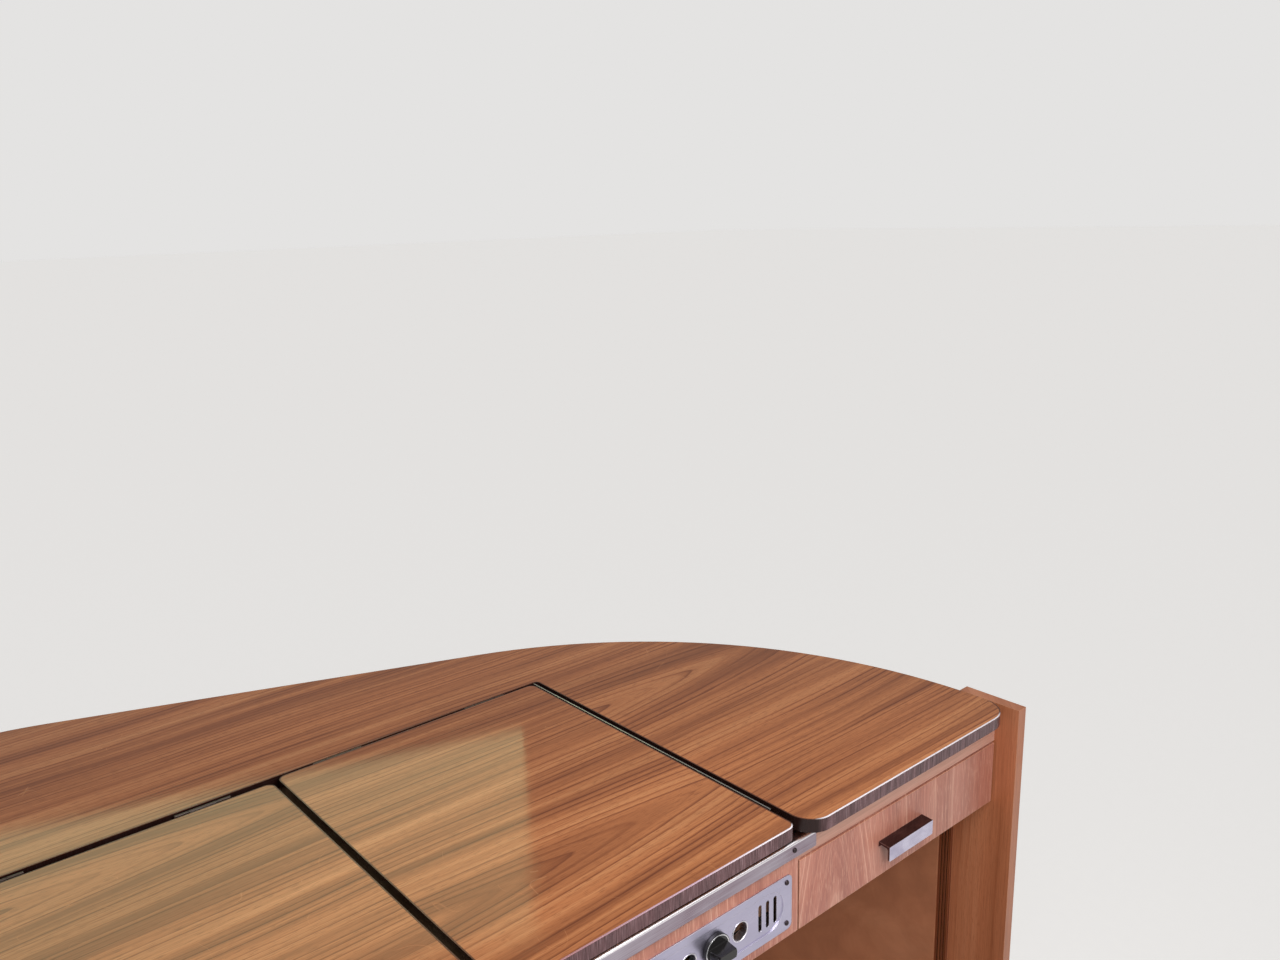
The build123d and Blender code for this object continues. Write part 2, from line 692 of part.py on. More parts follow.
waste = Pos(bowl_mid_x, waste_y, bowl_floor + waste_rim / 2) * Cylinder(2 * waste_radius, waste_rim)
waste += Pos(bowl_mid_x, waste_y, bowl_floor - steel - waste_nut / 2) * Cylinder(2 * waste_radius, waste_nut)
waste += Pos(bowl_mid_x, waste_y, bowl_floor - waste_length / 2) * Cylinder(waste_radius, waste_length)
waste -= Pos(bowl_mid_x, waste_y, bowl_floor) * Cylinder(waste_radius - waste_wall, 3 * waste_length)
for turn in (45, 135):
    bar = Rot(0, 0, turn) * Box(2 * waste_radius - waste_wall, strainer_bar, strainer_bar)
    waste += Pos(bowl_mid_x, waste_y, bowl_floor) * bar
nodes["sink_waste"] = waste

spout_z = flange_level - spout_top_gap - spout_radius
tap_body_top = spout_z - spout_radius - tap_seat
tap_body = Pos(tap_x, tap_y, ledge_floor + tap_base_height / 2) * Cylinder(tap_base_radius, tap_base_height)
tap_body += Pos(tap_x, tap_y, (ledge_floor + tap_body_top) / 2) * Cylinder(
    tap_body_radius, tap_body_top - ledge_floor
)
tap_body += Pos(tap_x, tap_y, ledge_floor - tap_tail_length / 2) * Cylinder(tap_tail_radius, tap_tail_length)
nodes["tap_body"] = tap_body

nozzle_y = tap_y - spout_reach
spout_points = [
    (tap_x, tap_y, spout_z),
    (tap_x, nozzle_y, spout_z),
    (tap_x, nozzle_y, spout_z - spout_nozzle),
]
spout = Pos(tap_x, tap_y, spout_z) * Cylinder(tap_body_radius, 2 * (spout_radius + tap_seat))
spout += pipe(spout_points, spout_radius, spout_bend)
nodes["tap_spout"] = spout


# Lids: laminated board with its edging, rubber buffers under it, and cranked hinges behind it
def lid_outline(x0, gap_behind):
    """A lid's plan outline."""
    return rounded(x0, x0 + lid_width, lid_front, strip_front_y - gap_behind, lid_radius)


def lid_hinge():
    """A lid hinge on its axis: the leaf under the fixed strip and the leaf under the lid."""
    ends, middle = knuckle_hinge(lid_hinge_length, lid_barrel_radius, knuckle_gap, lid_hinge_length / 2)
    half = lid_hinge_length / 2
    middle_half = lid_hinge_length / 4 - knuckle_gap
    end_start = lid_hinge_length / 4 + knuckle_gap
    under = board - lid_barrel_radius
    clear = -2 * lid_barrel_radius
    inner = lid_barrel_radius / 2
    leaves = []
    for side, barrel, spans in (
        (1, ends, [(-half, -end_start), (end_start, half)]),
        (-1, middle, [(-middle_half, middle_half)]),
    ):
        drop_y = sorted((side * inner, side * (inner + lid_leaf)))
        reach_y = sorted((side * inner, side * lid_leaf_reach))
        leaf = block(-half, half, *drop_y, -under - lid_leaf, clear)
        leaf += block(-half, half, *reach_y, -under - lid_leaf, -under)
        for x0, x1 in spans:
            leaf += block(x0, x1, *drop_y, clear, 0.0)
        if side < 0:
            leaf -= Rot(0, 90, 0) * Cylinder(inner + pin_play, lid_hinge_length)
        leaf += Rot(0, 90, 0) * barrel
        leaves.append(leaf)
    return leaves


lids = [
    ("left", lid_left_x0, lid_gap_left, lid_gap_left / 2),
    ("right", lid_right_x0, lid_gap_right, lid_gap_right / 2),
]
fixed_hinges = Part()
buffers = Part()
for side_name, x0, gap_behind, axis_gap in lids:
    outline = lid_outline(x0, gap_behind)
    band = edge_band(outline, edging_thickness)
    nodes[f"lid_{side_name}_edging"] = extrude(Pos(0, 0, board_under) * band, amount=board)
    nodes[f"lid_{side_name}_board"] = extrude(Pos(0, 0, board_under) * (outline - band), amount=board)
    axis_y = strip_front_y - axis_gap
    moving = Part()
    for hinge_x in (x0 + lid_hinge_inset, x0 + lid_width - lid_hinge_inset):
        fixed_leaf, moving_leaf = lid_hinge()
        place = Pos(hinge_x, axis_y, top - lid_barrel_radius)
        fixed_hinges += place * fixed_leaf
        moving += place * moving_leaf
    nodes[f"lid_{side_name}_hinges"] = moving
    buffer_height = flange_top - board - seat_gap
    flange_x1 = hob_flange_x1 if side_name == "right" else sink_flange_x1
    for buffer_x in (x0 + flange_margin + buffer_inset, flange_x1 - buffer_inset):
        for buffer_y in (lid_front + 2 * buffer_inset, flange_back - buffer_back_inset):
            buffers += Pos(buffer_x, buffer_y, flange_level + buffer_height / 2) * Cylinder(
                buffer_radius, buffer_height
            )
nodes["strip_hinges"] = fixed_hinges
nodes["lid_buffers"] = buffers


def lip_handle(length):
    """A pull of extruded section on a face at y = 0: foot, top plate and turned-down front."""
    front = -handle_projection
    inside = (front + handle_wall, -handle_dip - handle_web)
    outline = [
        (0, 0),
        (front, -handle_dip),
        (front, -handle_dip - handle_drop),
        (front + handle_wall, -handle_dip - handle_drop),
        inside,
        (-handle_foot_depth, -handle_web),
        (0, -handle_foot),
    ]
    section = make_face(Polyline(*outline, close=True))
    section = fillet(section.vertices().sort_by_distance(inside)[0], handle_fillet)
    pull = Pos(-length / 2, 0, 0) * extrude(Plane.YZ * section, amount=length)
    lower_corners = pull.edges().filter_by(Axis.Y).sort_by(Axis.Z)[:2]
    return fillet(lower_corners, handle_radius)


# Drawer: front, two sides, back and bottom, its handle, and the runners on the cheeks
drawer_x1 = side_face - drawer_end_gap
nodes["drawer_front"] = block(
    drawer_left_x, drawer_x1, fascia_face, carcass_front, band_bottom, band_top
)
handle_place = Pos(drawer_left_x + drawer_handle_reach, fascia_face, top - drawer_handle_drop)
nodes["drawer_handle"] = handle_place * lip_handle(handle_length)

side_x0 = cheek_left_x + carcass + cheek_clearance
side_x1 = cheek_right_x - cheek_clearance
box_z0 = band_bottom + drawer_box_lift
box_z1 = box_z0 + drawer_box_height
box_back = carcass_front + drawer_box_depth
runner_z = (box_z0 + box_z1) / 2
groove_z0 = runner_z - runner_height / 2 - runner_play
groove_z1 = runner_z + runner_height / 2 + runner_play
bottom_z = box_z0 + bottom_groove_lift
runners = Part()
sides = [
    ("left", side_x0, side_x0 + drawer_side, side_x0, 1, cheek_left_x + carcass),
    ("right", side_x1 - drawer_side, side_x1, side_x1, -1, cheek_right_x),
]
for side_name, x0, x1, outer_x, inward, cheek_face in sides:
    panel = block(x0, x1, carcass_front, box_back, box_z0, box_z1)
    groove_x = sorted((outer_x, outer_x + inward * runner_depth))
    panel -= block(*groove_x, carcass_front, box_back, groove_z0, groove_z1)
    inner_x = outer_x + inward * drawer_side
    slot_x = sorted((inner_x, inner_x - inward * bottom_groove_depth))
    panel -= block(*slot_x, carcass_front, box_back, bottom_z, bottom_z + drawer_bottom)
    nodes[f"drawer_side_{side_name}"] = panel
    runner_x = sorted((cheek_face, outer_x + inward * (runner_depth - runner_play)))
    runners += block(
        *runner_x,
        carcass_front + runner_setback,
        box_back,
        runner_z - runner_height / 2,
        runner_z + runner_height / 2,
    )
nodes["drawer_runners"] = runners
nodes["drawer_back"] = block(
    side_x0 + drawer_side,
    side_x1 - drawer_side,
    box_back - drawer_back,
    box_back,
    bottom_z + drawer_bottom,
    box_z1,
)
nodes["drawer_bottom"] = block(
    side_x0 + drawer_side - bottom_groove_depth,
    side_x1 - drawer_side + bottom_groove_depth,
    carcass_front,
    box_back,
    bottom_z,
    bottom_z + drawer_bottom,
)


# Cupboard doors, their handles and cranked hinges
def door_hinge():
    """A door hinge on its axis, for a door that lies towards +X: fixed leaf and moving leaf."""
    ends, middle = knuckle_hinge(door_hinge_length, door_barrel_radius, knuckle_gap, door_hinge_length / 2)
    half = door_hinge_length / 2
    mid = door_hinge_length / 4
    back = carcass - door_barrel_radius
    behind = door_barrel_radius + door_leaf
    fixed = ends
    for z0, z1 in ((-half, -mid - knuckle_gap), (mid + knuckle_gap, half)):
        fixed += block(-door_leaf / 2, door_leaf / 2, 0, back, z0, z1)
    fixed += block(-door_leaf / 2, door_leaf / 2, behind, back, -half, half)
    fixed += block(
        -door_edge_gap - door_axis_gap, door_leaf / 2 + door_leaf_gap, back - door_leaf, back, -half, half
    )
    x0 = door_edge_gap - door_leaf
    moving_back = back - 2 * door_leaf - door_leaf_gap
    moving = middle + block(x0, door_edge_gap, 0, moving_back, -mid, mid)
    moving += block(0, door_edge_gap, -door_leaf / 2, door_leaf / 2, -mid, mid)
    moving += block(x0, door_edge_gap, behind, moving_back, -half, half)
    moving -= Cylinder(door_barrel_radius / 2 + pin_play, 2 * door_hinge_length)
    return fixed, moving


door_z0 = plinth_height + door_edge_gap
door_z1 = band_bottom - door_gap
door_axis_y = fascia_face + door_barrel_radius
left_axis_x = x_left + door_edge_gap + door_axis_gap
right_axis_x = partition_x + carcass - door_edge_gap - door_axis_gap
door_x0 = left_axis_x + door_edge_gap
door_x1 = right_axis_x - door_edge_gap
door_width = (door_x1 - door_x0 - door_gap) / 2
door_back = carcass_front - door_back_gap
door_hinges_fixed = Part()
doors = [
    ("left", door_x0, door_x0 + door_width, left_axis_x, False),
    ("right", door_x1 - door_width, door_x1, right_axis_x, True),
]
for side_name, x0, x1, axis_x, mirrored in doors:
    nodes[f"door_{side_name}"] = block(x0, x1, fascia_face, door_back, door_z0, door_z1)
    handle_inset = door_handle_inset + handle_length / 2
    handle_x = x0 + handle_inset if mirrored else x1 - handle_inset
    place = Pos(handle_x, fascia_face, door_z1 - door_handle_drop)
    nodes[f"door_{side_name}_handle"] = place * lip_handle(handle_length)
    moving = Part()
    for hinge_z in (door_z0 + door_hinge_inset, door_z1 - door_hinge_inset):
        fixed_leaf, moving_leaf = door_hinge()
        if mirrored:
            fixed_leaf = mirror(fixed_leaf, about=Plane.YZ)
            moving_leaf = mirror(moving_leaf, about=Plane.YZ)
        place = Pos(axis_x, door_axis_y, hinge_z)
        door_hinges_fixed += place * fixed_leaf
        moving += place * moving_leaf
    nodes[f"door_{side_name}_hinges"] = moving
nodes["door_hinges_fixed"] = door_hinges_fixed

# One STEP file for each piece
os.makedirs("parts", exist_ok=True)
for name, shape in nodes.items():
    solids = shape.solids()
    piece = solids[0] if len(solids) == 1 else Compound(children=list(solids))
    piece.label = name
    export_step(piece, f"parts/{name}.step")
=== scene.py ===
import math
import random

import bmesh
import bpy
from mathutils import Matrix, Vector


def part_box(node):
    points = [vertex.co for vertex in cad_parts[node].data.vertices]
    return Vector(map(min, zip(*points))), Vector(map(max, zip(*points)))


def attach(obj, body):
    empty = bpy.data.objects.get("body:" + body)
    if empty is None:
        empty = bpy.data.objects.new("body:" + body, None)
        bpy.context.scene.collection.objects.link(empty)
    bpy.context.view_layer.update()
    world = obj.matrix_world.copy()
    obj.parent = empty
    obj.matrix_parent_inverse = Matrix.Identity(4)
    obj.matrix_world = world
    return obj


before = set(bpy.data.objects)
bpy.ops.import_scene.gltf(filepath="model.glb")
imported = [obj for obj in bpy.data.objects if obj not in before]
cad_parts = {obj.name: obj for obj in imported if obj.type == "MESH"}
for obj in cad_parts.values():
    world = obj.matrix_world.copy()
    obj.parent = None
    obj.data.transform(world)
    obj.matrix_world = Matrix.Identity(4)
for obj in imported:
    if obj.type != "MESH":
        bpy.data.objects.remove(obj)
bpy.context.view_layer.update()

# The carcass: floor board, plinth, shelf, drawer cheeks, back rail and sub-top are plain light
# plywood, sawn, glued and screwed. The sawn edges show their plies as fine dark and pale lines.


def fill(tree, item, inputs):
    """Fills a node's inputs from values or from other nodes' sockets."""
    for key, value in inputs.items():
        if isinstance(value, bpy.types.NodeSocket):
            tree.links.new(value, item.inputs[key])
        else:
            item.inputs[key].default_value = value


def put(tree, kind, inputs=None, **options):
    """Adds a shader node, sets its options and fills its inputs."""
    item = tree.nodes.new("ShaderNode" + kind)
    for option, value in options.items():
        setattr(item, option, value)
    fill(tree, item, inputs or {})
    return item


def maths(tree, operation, *values):
    """The result of a Math node."""
    return put(tree, "Math", dict(enumerate(values)), operation=operation).outputs[0]


def rescaled(tree, value, start=0.0, end=1.0, low=0.0, high=1.0):
    """A value between start and end, carried over to between low and high."""
    inputs = {0: value, 1: start, 2: end, 3: low, 4: high}
    return put(tree, "MapRange", inputs).outputs[0]


def blend_colours(tree, factor, first, second, mode="MIX"):
    """The result of mixing two colours."""
    inputs = {0: factor, 6: first, 7: second}
    return put(tree, "Mix", inputs, data_type="RGBA", blend_type=mode).outputs[2]


def ramp(tree, value, *stops):
    """A Color Ramp through (place, grey or colour) stops."""
    item = put(tree, "ValToRGB", {0: value})
    elements = item.color_ramp.elements
    while len(elements) < len(stops):
        elements.new(0.5)
    for element, (place, tone) in zip(elements, stops):
        element.position = place
        element.color = tone if isinstance(tone, tuple) else (tone, tone, tone, 1.0)
    return item.outputs[0]


def srgb(red, green, blue):
    """A colour given in screen values from 0 to 255, as the shader needs it."""
    return tuple(((c / 255 + 0.055) / 1.055) ** 2.4 for c in (red, green, blue)) + (1.0,)


def laid_over(tree, colour, mask, tone, strength):
    """A colour with a tone laid over it where the mask is, this strongly."""
    return blend_colours(tree, maths(tree, "MULTIPLY", mask, strength), colour, srgb(*tone))


def shaded(tree, colour, value, *stops, amount):
    """A colour made darker and lighter by a value, through a ramp of greys."""
    return blend_colours(tree, amount, colour, ramp(tree, value, *stops), mode="MULTIPLY")


def shader_group(name, inputs, outputs):
    """An empty node group with named sockets: its tree, its inputs and its output node."""
    tree = bpy.data.node_groups.new(name, "ShaderNodeTree")
    for label, value in inputs.items():
        kind = "Vector" if value is None else "Float"
        socket = tree.interface.new_socket(label, in_out="INPUT", socket_type="NodeSocket" + kind)
        if value is not None:
            socket.default_value = value
    for label in outputs:
        tree.interface.new_socket(label, in_out="OUTPUT", socket_type="NodeSocketFloat")
    entry = tree.nodes.new("NodeGroupInput")
    leave = tree.nodes.new("NodeGroupOutput")
    return tree, entry.outputs, leave.inputs


def use_group(tree, group, **inputs):
    """Places a node group in a material with its own values, and gives its outputs."""
    return put(tree, "Group", inputs, node_tree=group).outputs


def shader_of(material):
    """A material's Principled shader."""
    return next(n for n in material.node_tree.nodes if n.type == "BSDF_PRINCIPLED")


def wire_up(tree, shader, **inputs):
    """Fills the Principled shader's inputs, which are named here with _ for a space."""
    fill(tree, shader, {key.replace("_", " "): value for key, value in inputs.items()})


def new_finish(name, **values):
    """A new material: its tree and its Principled shader, with fixed values on the sockets."""
    material = bpy.data.materials.new(name)
    material.use_nodes = True
    wire_up(material.node_tree, shader_of(material), **values)
    return material, material.node_tree, shader_of(material)


def soft_edge(tree, radius):
    """A normal that is rounded over near sharp edges, as a sanded or pressed edge is."""
    return put(tree, "Bevel", {"Radius": radius}, samples=4).outputs[0]


def raised(tree, height, distance, strength, radius):
    """A bump over the soft-edged normal."""
    inputs = {"Height": height, "Distance": distance, "Strength": strength}
    inputs["Normal"] = soft_edge(tree, radius)
    return put(tree, "Bump", inputs).outputs[0]


def object_spot(tree):
    """The place on the object in metres, which is the place in the unit."""
    return put(tree, "TexCoord").outputs["Object"]


def place_axes(tree):
    """The place on the object along x, y and z, each as a value."""
    return put(tree, "SeparateXYZ", {0: object_spot(tree)}).outputs


def facing_axes(tree):
    """How far the surface faces along x, y and z, each as a value."""
    return put(tree, "SeparateXYZ", {0: put(tree, "TexCoord").outputs["Normal"]}).outputs


seed_step = 1.7     # metres along the log from one seed to the next


def along(tree, axis, seed=0.0):
    """Object coordinates turned so that the grain runs along x, from another part of the log."""
    turns = {"x": (0, 0, 0), "y": (0, 0, math.radians(90)), "z": (0, math.radians(90), 0)}
    inputs = {"Vector": object_spot(tree), "Rotation": turns[axis]}
    inputs["Location"] = (seed * seed_step, 0, 0)
    return put(tree, "Mapping", inputs).outputs[0]


def stretched(tree, vector, length, width):
    """Coordinates scaled so that a unit is this long along the grain and this wide across it."""
    scale = (1 / length, 1 / width, 1 / width)
    return put(tree, "Mapping", {"Vector": vector, "Scale": scale}).outputs[0]


def noise(tree, vector, detail=2.0, rough=0.5, distortion=0.0, scale=1.0):
    """A noise value over coordinates, at its own scale or over coordinates already scaled."""
    inputs = {"Vector": vector, "Scale": scale, "Detail": detail}
    inputs.update({"Roughness": rough, "Distortion": distortion})
    return put(tree, "TexNoise", inputs).outputs["Fac"]


def dress(material, *names):
    """Gives CAD pieces a material."""
    for name in names:
        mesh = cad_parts[name].data
        mesh.materials.clear()
        mesh.materials.append(material)


# Wood figure: rings cut along the log, so that they run straight at the sides and make pointed
# arches over the heart. The darkness varies from ring to ring, and short fibres and pores cross it.
wood_figure, figure_in, figure_out = shader_group(
    "wood figure",
    {
        "Vector": None,
        "Heart": 0.0,       # place of the heart across the board, in metres
        "Start": 0.0,       # place along it where the arches begin
        "Depth": 0.05,      # of the heart under the face
        "Lean": 0.2,        # of the log against the face
        "Rings": 80.0,      # to the metre
        "Eyes": 1.5,        # rings by which the figure wanders
        "Late": 0.2,        # darkness of the narrow late-wood lines
    },
    ("Lines", "Tone", "Fibre", "Pore"),
)
sway_width = 0.04           # metres that the log wanders to the side
arch_narrowness = 200.0     # how soon the arches give way to straight rings
shiver_rings = 0.25         # rings by which a line shivers
fine_bands = 0.50           # how much the darkness varies from ring to ring
broad_bands = 0.66          # and over many rings
band_drop = 0.08


def figure_maths(operation, *values):
    """The result of a Math node in the wood figure."""
    return maths(wood_figure, operation, *values)


def figure_noise(length, width, **options):
    """A noise in the wood figure, this long along the grain and this wide across it."""
    return noise(wood_figure, stretched(wood_figure, figure_in["Vector"], length, width), **options)


grain_x, grain_y, grain_z = put(wood_figure, "SeparateXYZ", {0: figure_in["Vector"]}).outputs
sway = figure_noise(0.70, 0.20, detail=1.5)
side = figure_maths("SUBTRACT", figure_maths("ADD", grain_y, grain_z), figure_in["Heart"])
side = figure_maths("MULTIPLY_ADD", sway, sway_width, side)
deep = figure_maths("MULTIPLY", figure_in["Depth"], figure_in["Depth"])
squares = figure_maths("MULTIPLY_ADD", side, side, deep)
near_heart = figure_maths("MULTIPLY_ADD", squares, arch_narrowness, 1.0)
near_heart = figure_maths("DIVIDE", 1.0, near_heart)
from_start = figure_maths("SUBTRACT", grain_x, figure_in["Start"])
taper = figure_maths("MULTIPLY", from_start, figure_in["Lean"])
taper = figure_maths("MULTIPLY", taper, near_heart)
reach = figure_maths("ADD", figure_maths("SQRT", squares), taper)
eyes = figure_noise(0.38, 0.050, detail=1.5, distortion=0.3)
ring = figure_maths("MULTIPLY", reach, figure_in["Rings"])
ring = figure_maths("MULTIPLY_ADD", eyes, figure_in["Eyes"], ring)
shiver = figure_noise(0.08, 0.006, detail=2.0)
ring = figure_maths("MULTIPLY_ADD", shiver, shiver_rings, ring)


def ring_noise(run, width, shift, **options):
    """A noise that follows the rings: how fast it changes along the grain and from ring to ring."""
    slow_x = figure_maths("MULTIPLY", grain_x, run)
    slow_ring = figure_maths("MULTIPLY", ring, width)
    vector = put(wood_figure, "CombineXYZ", {0: slow_x, 1: slow_ring, 2: shift}).outputs[0]
    return noise(wood_figure, vector, **options)


bands = figure_maths("MULTIPLY", ring_noise(1.6, 0.75, shift=0.0, detail=3.0, rough=0.55), fine_bands)
bands = figure_maths("MULTIPLY_ADD", ring_noise(0.8, 0.22, shift=5.0, detail=1.5), broad_bands, bands)
bands = figure_maths("SUBTRACT", bands, band_drop)
late_stops = (0.0, 0.7), (0.05, 0.0), (0.66, 0.0), (0.88, 0.6), (0.96, 1.0)
late = ramp(wood_figure, figure_maths("FRACT", ring), *late_stops)
late_strength = ramp(wood_figure, ring_noise(3.0, 0.61, shift=7.0), (0.42, 0.10), (0.62, 1.0))
late = figure_maths("MULTIPLY", late, late_strength)
pore = figure_noise(0.013, 0.0010, detail=2.0)
wood_results = {
    "Lines": figure_maths("SUBTRACT", bands, figure_maths("MULTIPLY", late, figure_in["Late"])),
    "Tone": figure_noise(0.70, 0.06, detail=2.5, rough=0.55),
    "Fibre": figure_noise(0.050, 0.0013, detail=3.0, rough=0.6),
    "Pore": ramp(wood_figure, pore, (0.54, 0.0), (0.68, 1.0)),
}
for label, socket in wood_results.items():
    wood_figure.links.new(socket, figure_out[label])

# Handling: faint smears that dull a shine, and hair scratches that catch the light. Both come
# and go from place to place.
handling, marks_in, marks_out = shader_group(
    "handling marks",
    {"Clean": 0.2, "Dull": 0.35, "Scratches": 0.2},
    ("Roughness", "Patch", "Scratch"),
)
hair_width = 0.0022
scratch_dulling = 0.4
mark_spot = object_spot(handling)
smear_spot = stretched(handling, mark_spot, 0.09, 0.05)
smear = noise(handling, smear_spot, detail=4.0, rough=0.6, distortion=0.6)
patch = ramp(handling, smear, (0.42, 0.0), (0.72, 1.0))
curl = noise(handling, mark_spot, detail=1.0, distortion=1.2, scale=9.0)
hair = maths(handling, "ABSOLUTE", maths(handling, "SUBTRACT", curl, 0.5))
hair = ramp(handling, hair, (0.0, 1.0), (hair_width, 0.0))
broken = ramp(handling, noise(handling, mark_spot, scale=31.0), (0.55, 0.0), (0.60, 1.0))
hair = maths(handling, "MULTIPLY", hair, broken)
scratch = maths(handling, "MULTIPLY", hair, marks_in["Scratches"])
dulled = rescaled(handling, patch, low=marks_in["Clean"], high=marks_in["Dull"])
dulled = maths(handling, "MULTIPLY_ADD", scratch, scratch_dulling, dulled)
for label, socket in {"Roughness": dulled, "Patch": patch, "Scratch": scratch}.items():
    handling.links.new(socket, marks_out[label])

# Rubbed edges: where two faces meet, the print or the colour has gone and the edge is pale.
# The mask is where the rounded normal turns away from the flat one.
rubbed_edges, rub_in, rub_out = shader_group("rubbed edges", {"Width": 0.001}, ("Edge",))
rounded = put(rubbed_edges, "Bevel", {"Radius": rub_in["Width"]}, samples=6).outputs[0]
flat = put(rubbed_edges, "NewGeometry").outputs["Normal"]
turn = put(rubbed_edges, "VectorMath", {0: rounded, 1: flat}, operation="DOT_PRODUCT")
edge = ramp(rubbed_edges, turn.outputs["Value"], (0.86, 1.0), (0.985, 0.0))
rubbed_edges.links.new(edge, rub_out["Edge"])


def rubbed(tree, colour, tone, width, strength):
    """A colour rubbed through to a paler tone along the edges, this wide and this strongly."""
    worn_edge = use_group(tree, rubbed_edges, Width=width)["Edge"]
    return laid_over(tree, colour, worn_edge, tone, strength)


# Ply edges: lines at the thickness of the veneers, on the faces that cut across the sheet. Through
# is the place through the sheet, and Facing says which faces are the sheet's own.
ply_edges, ply_in, ply_out = shader_group(
    "ply edges", {"Through": 0.0, "Facing": 0.0, "Veneer": 0.0016}, ("Line",)
)
pair = maths(ply_edges, "MULTIPLY", ply_in["Veneer"], 2)
layer = maths(ply_edges, "FRACT", maths(ply_edges, "DIVIDE", ply_in["Through"], pair))
layer = ramp(ply_edges, layer, (0.42, 0.0), (0.50, 1.0), (0.92, 1.0), (1.0, 0.0))
cut_face = maths(ply_edges, "LESS_THAN", maths(ply_edges, "ABSOLUTE", ply_in["Facing"]), 0.5)
ply_edges.links.new(maths(ply_edges, "MULTIPLY", layer, cut_face), ply_out["Line"])

tone_places = (0.20, 0.38, 0.52, 0.68)      # where each of the four tones lies in the rings
slow_shades = (0.34, 0.84), (0.50, 0.98), (0.66, 1.08)
fibre_shades = (0.30, 0.78), (0.52, 1.0), (0.72, 1.10)
sanded_width = 0.0012
fibre_height = 0.6                          # of the fibres in the bump, beside the rings


def wood_finish(name, axis, tones, figure, shine, thin=None, seed=0.0, pale_edge=None, **values):
    """A wood or wood print: four tones by ring, fibres, pores, ply lines and a worn shine."""
    material, tree, shader = new_finish(name, **values)
    figure = {**figure, "Start": figure.get("Start", 0.0) + seed * seed_step}
    grain = use_group(tree, wood_figure, Vector=along(tree, axis, seed), **figure)
    colour = ramp(tree, grain["Lines"], *zip(tone_places, (srgb(*tone) for tone in tones)))
    colour = shaded(tree, colour, grain["Tone"], *slow_shades, amount=0.8)
    colour = shaded(tree, colour, grain["Fibre"], *fibre_shades, amount=0.7)
    colour = laid_over(tree, colour, grain["Pore"], tones[0], strength=0.5)
    if thin is not None:
        sheet = {"Through": place_axes(tree)[thin], "Facing": facing_axes(tree)[thin]}
        line = use_group(tree, ply_edges, **sheet)["Line"]
        colour = laid_over(tree, colour, line, tones[0], strength=0.55)
    if pale_edge is not None:
        colour = rubbed(tree, colour, pale_edge, width=sanded_width, strength=0.7)
    clean, dull, scratches = shine
    worn = use_group(tree, handling, Clean=clean, Dull=dull, Scratches=scratches)
    colour = laid_over(tree, colour, worn["Scratch"], tones[-1], strength=0.5)
    height = maths(tree, "MULTIPLY_ADD", grain["Fibre"], fibre_height, grain["Lines"])
    normal = raised(tree, height, distance=0.0002, strength=0.3, radius=0.0006)
    wire_up(tree, shader, Base_Color=colour, Roughness=worn["Roughness"], Normal=normal)
    return material


plywood_tones = ((156, 116, 80), (190, 150, 110), (208, 172, 132), (224, 192, 154))
plywood_figure = {"Heart": 0.1, "Depth": 0.3, "Lean": 0.5, "Rings": 26.0, "Eyes": 2.5}
plywood_shine = (0.55, 0.70, 0.0)       # roughness where clean and where dull, and scratches
plywoods = {}
for thin, axis, label in ((0, "y", "upright"), (1, "x", "across"), (2, "x", "lying")):
    plywoods[label] = wood_finish(
        f"pale plywood {label}",
        axis,
        tones=plywood_tones,
        figure=plywood_figure,
        shine=plywood_shine,
        thin=thin,
        seed=1.0,
    )
dress(plywoods["lying"], "floor_board", "cupboard_shelf", "sub_top")
dress(plywoods["across"], "plinth", "back_rail")
dress(plywoods["upright"], "cheek_left", "cheek_right")

# End panel and partition: plywood faced with a reddish wood-print foil, its grain upright. The
# front edges are covered with the same foil.
panel_foil = wood_finish(
    "reddish panel foil",
    "z",
    tones=((112, 62, 40), (150, 92, 62), (172, 110, 76), (188, 128, 92)),
    figure={"Heart": 0.0, "Start": 0.4, "Depth": 0.012, "Lean": 0.10, "Rings": 90.0, "Eyes": 1.4},
    shine=(0.34, 0.48, 0.2),
    seed=2.0,
    pale_edge=(196, 142, 106),
)
dress(panel_foil, "end_panel", "partition")

# Wall lining: thin hardboard with a mottled vinyl face, bent round the corner of the caravan. It is
# the back wall of the bay and the cupboard, and its outer side is bare brown board.
lining_finish, tree, shader = new_finish("mottled wall vinyl", Specular_IOR_Level=0.35)
spot = object_spot(tree)
cloud = noise(tree, spot, detail=5.0, rough=0.6, distortion=0.8, scale=9.0)
wash = noise(tree, spot, detail=3.0, rough=0.6, distortion=0.6, scale=22.0)
vinyl_stops = (0.34, srgb(170, 111, 81)), (0.52, srgb(180, 119, 87)), (0.68, srgb(190, 129, 96))
colour = ramp(tree, cloud, *vinyl_stops)
colour = shaded(tree, colour, wash, (0.35, 0.78), (0.65, 1.05), amount=0.4)
outward = facing_axes(tree)
back_face = maths(tree, "GREATER_THAN", maths(tree, "ADD", outward[0], outward[1]), 0.05)
board_fleck = noise(tree, spot, detail=5.0, rough=0.7, scale=140.0)
board_tone = ramp(tree, board_fleck, (0.35, srgb(96, 66, 44)), (0.65, srgb(134, 98, 68)))
colour = blend_colours(tree, back_face, colour, board_tone)
grit = noise(tree, spot, detail=2.0, scale=900.0)
worn = use_group(tree, handling, Clean=0.45, Dull=0.62, Scratches=0.0)
normal = raised(tree, grit, distance=0.0003, strength=0.35, radius=0.0005)
wire_up(tree, shader, Base_Color=colour, Roughness=worn["Roughness"], Normal=normal)
dress(lining_finish, "wall_lining")

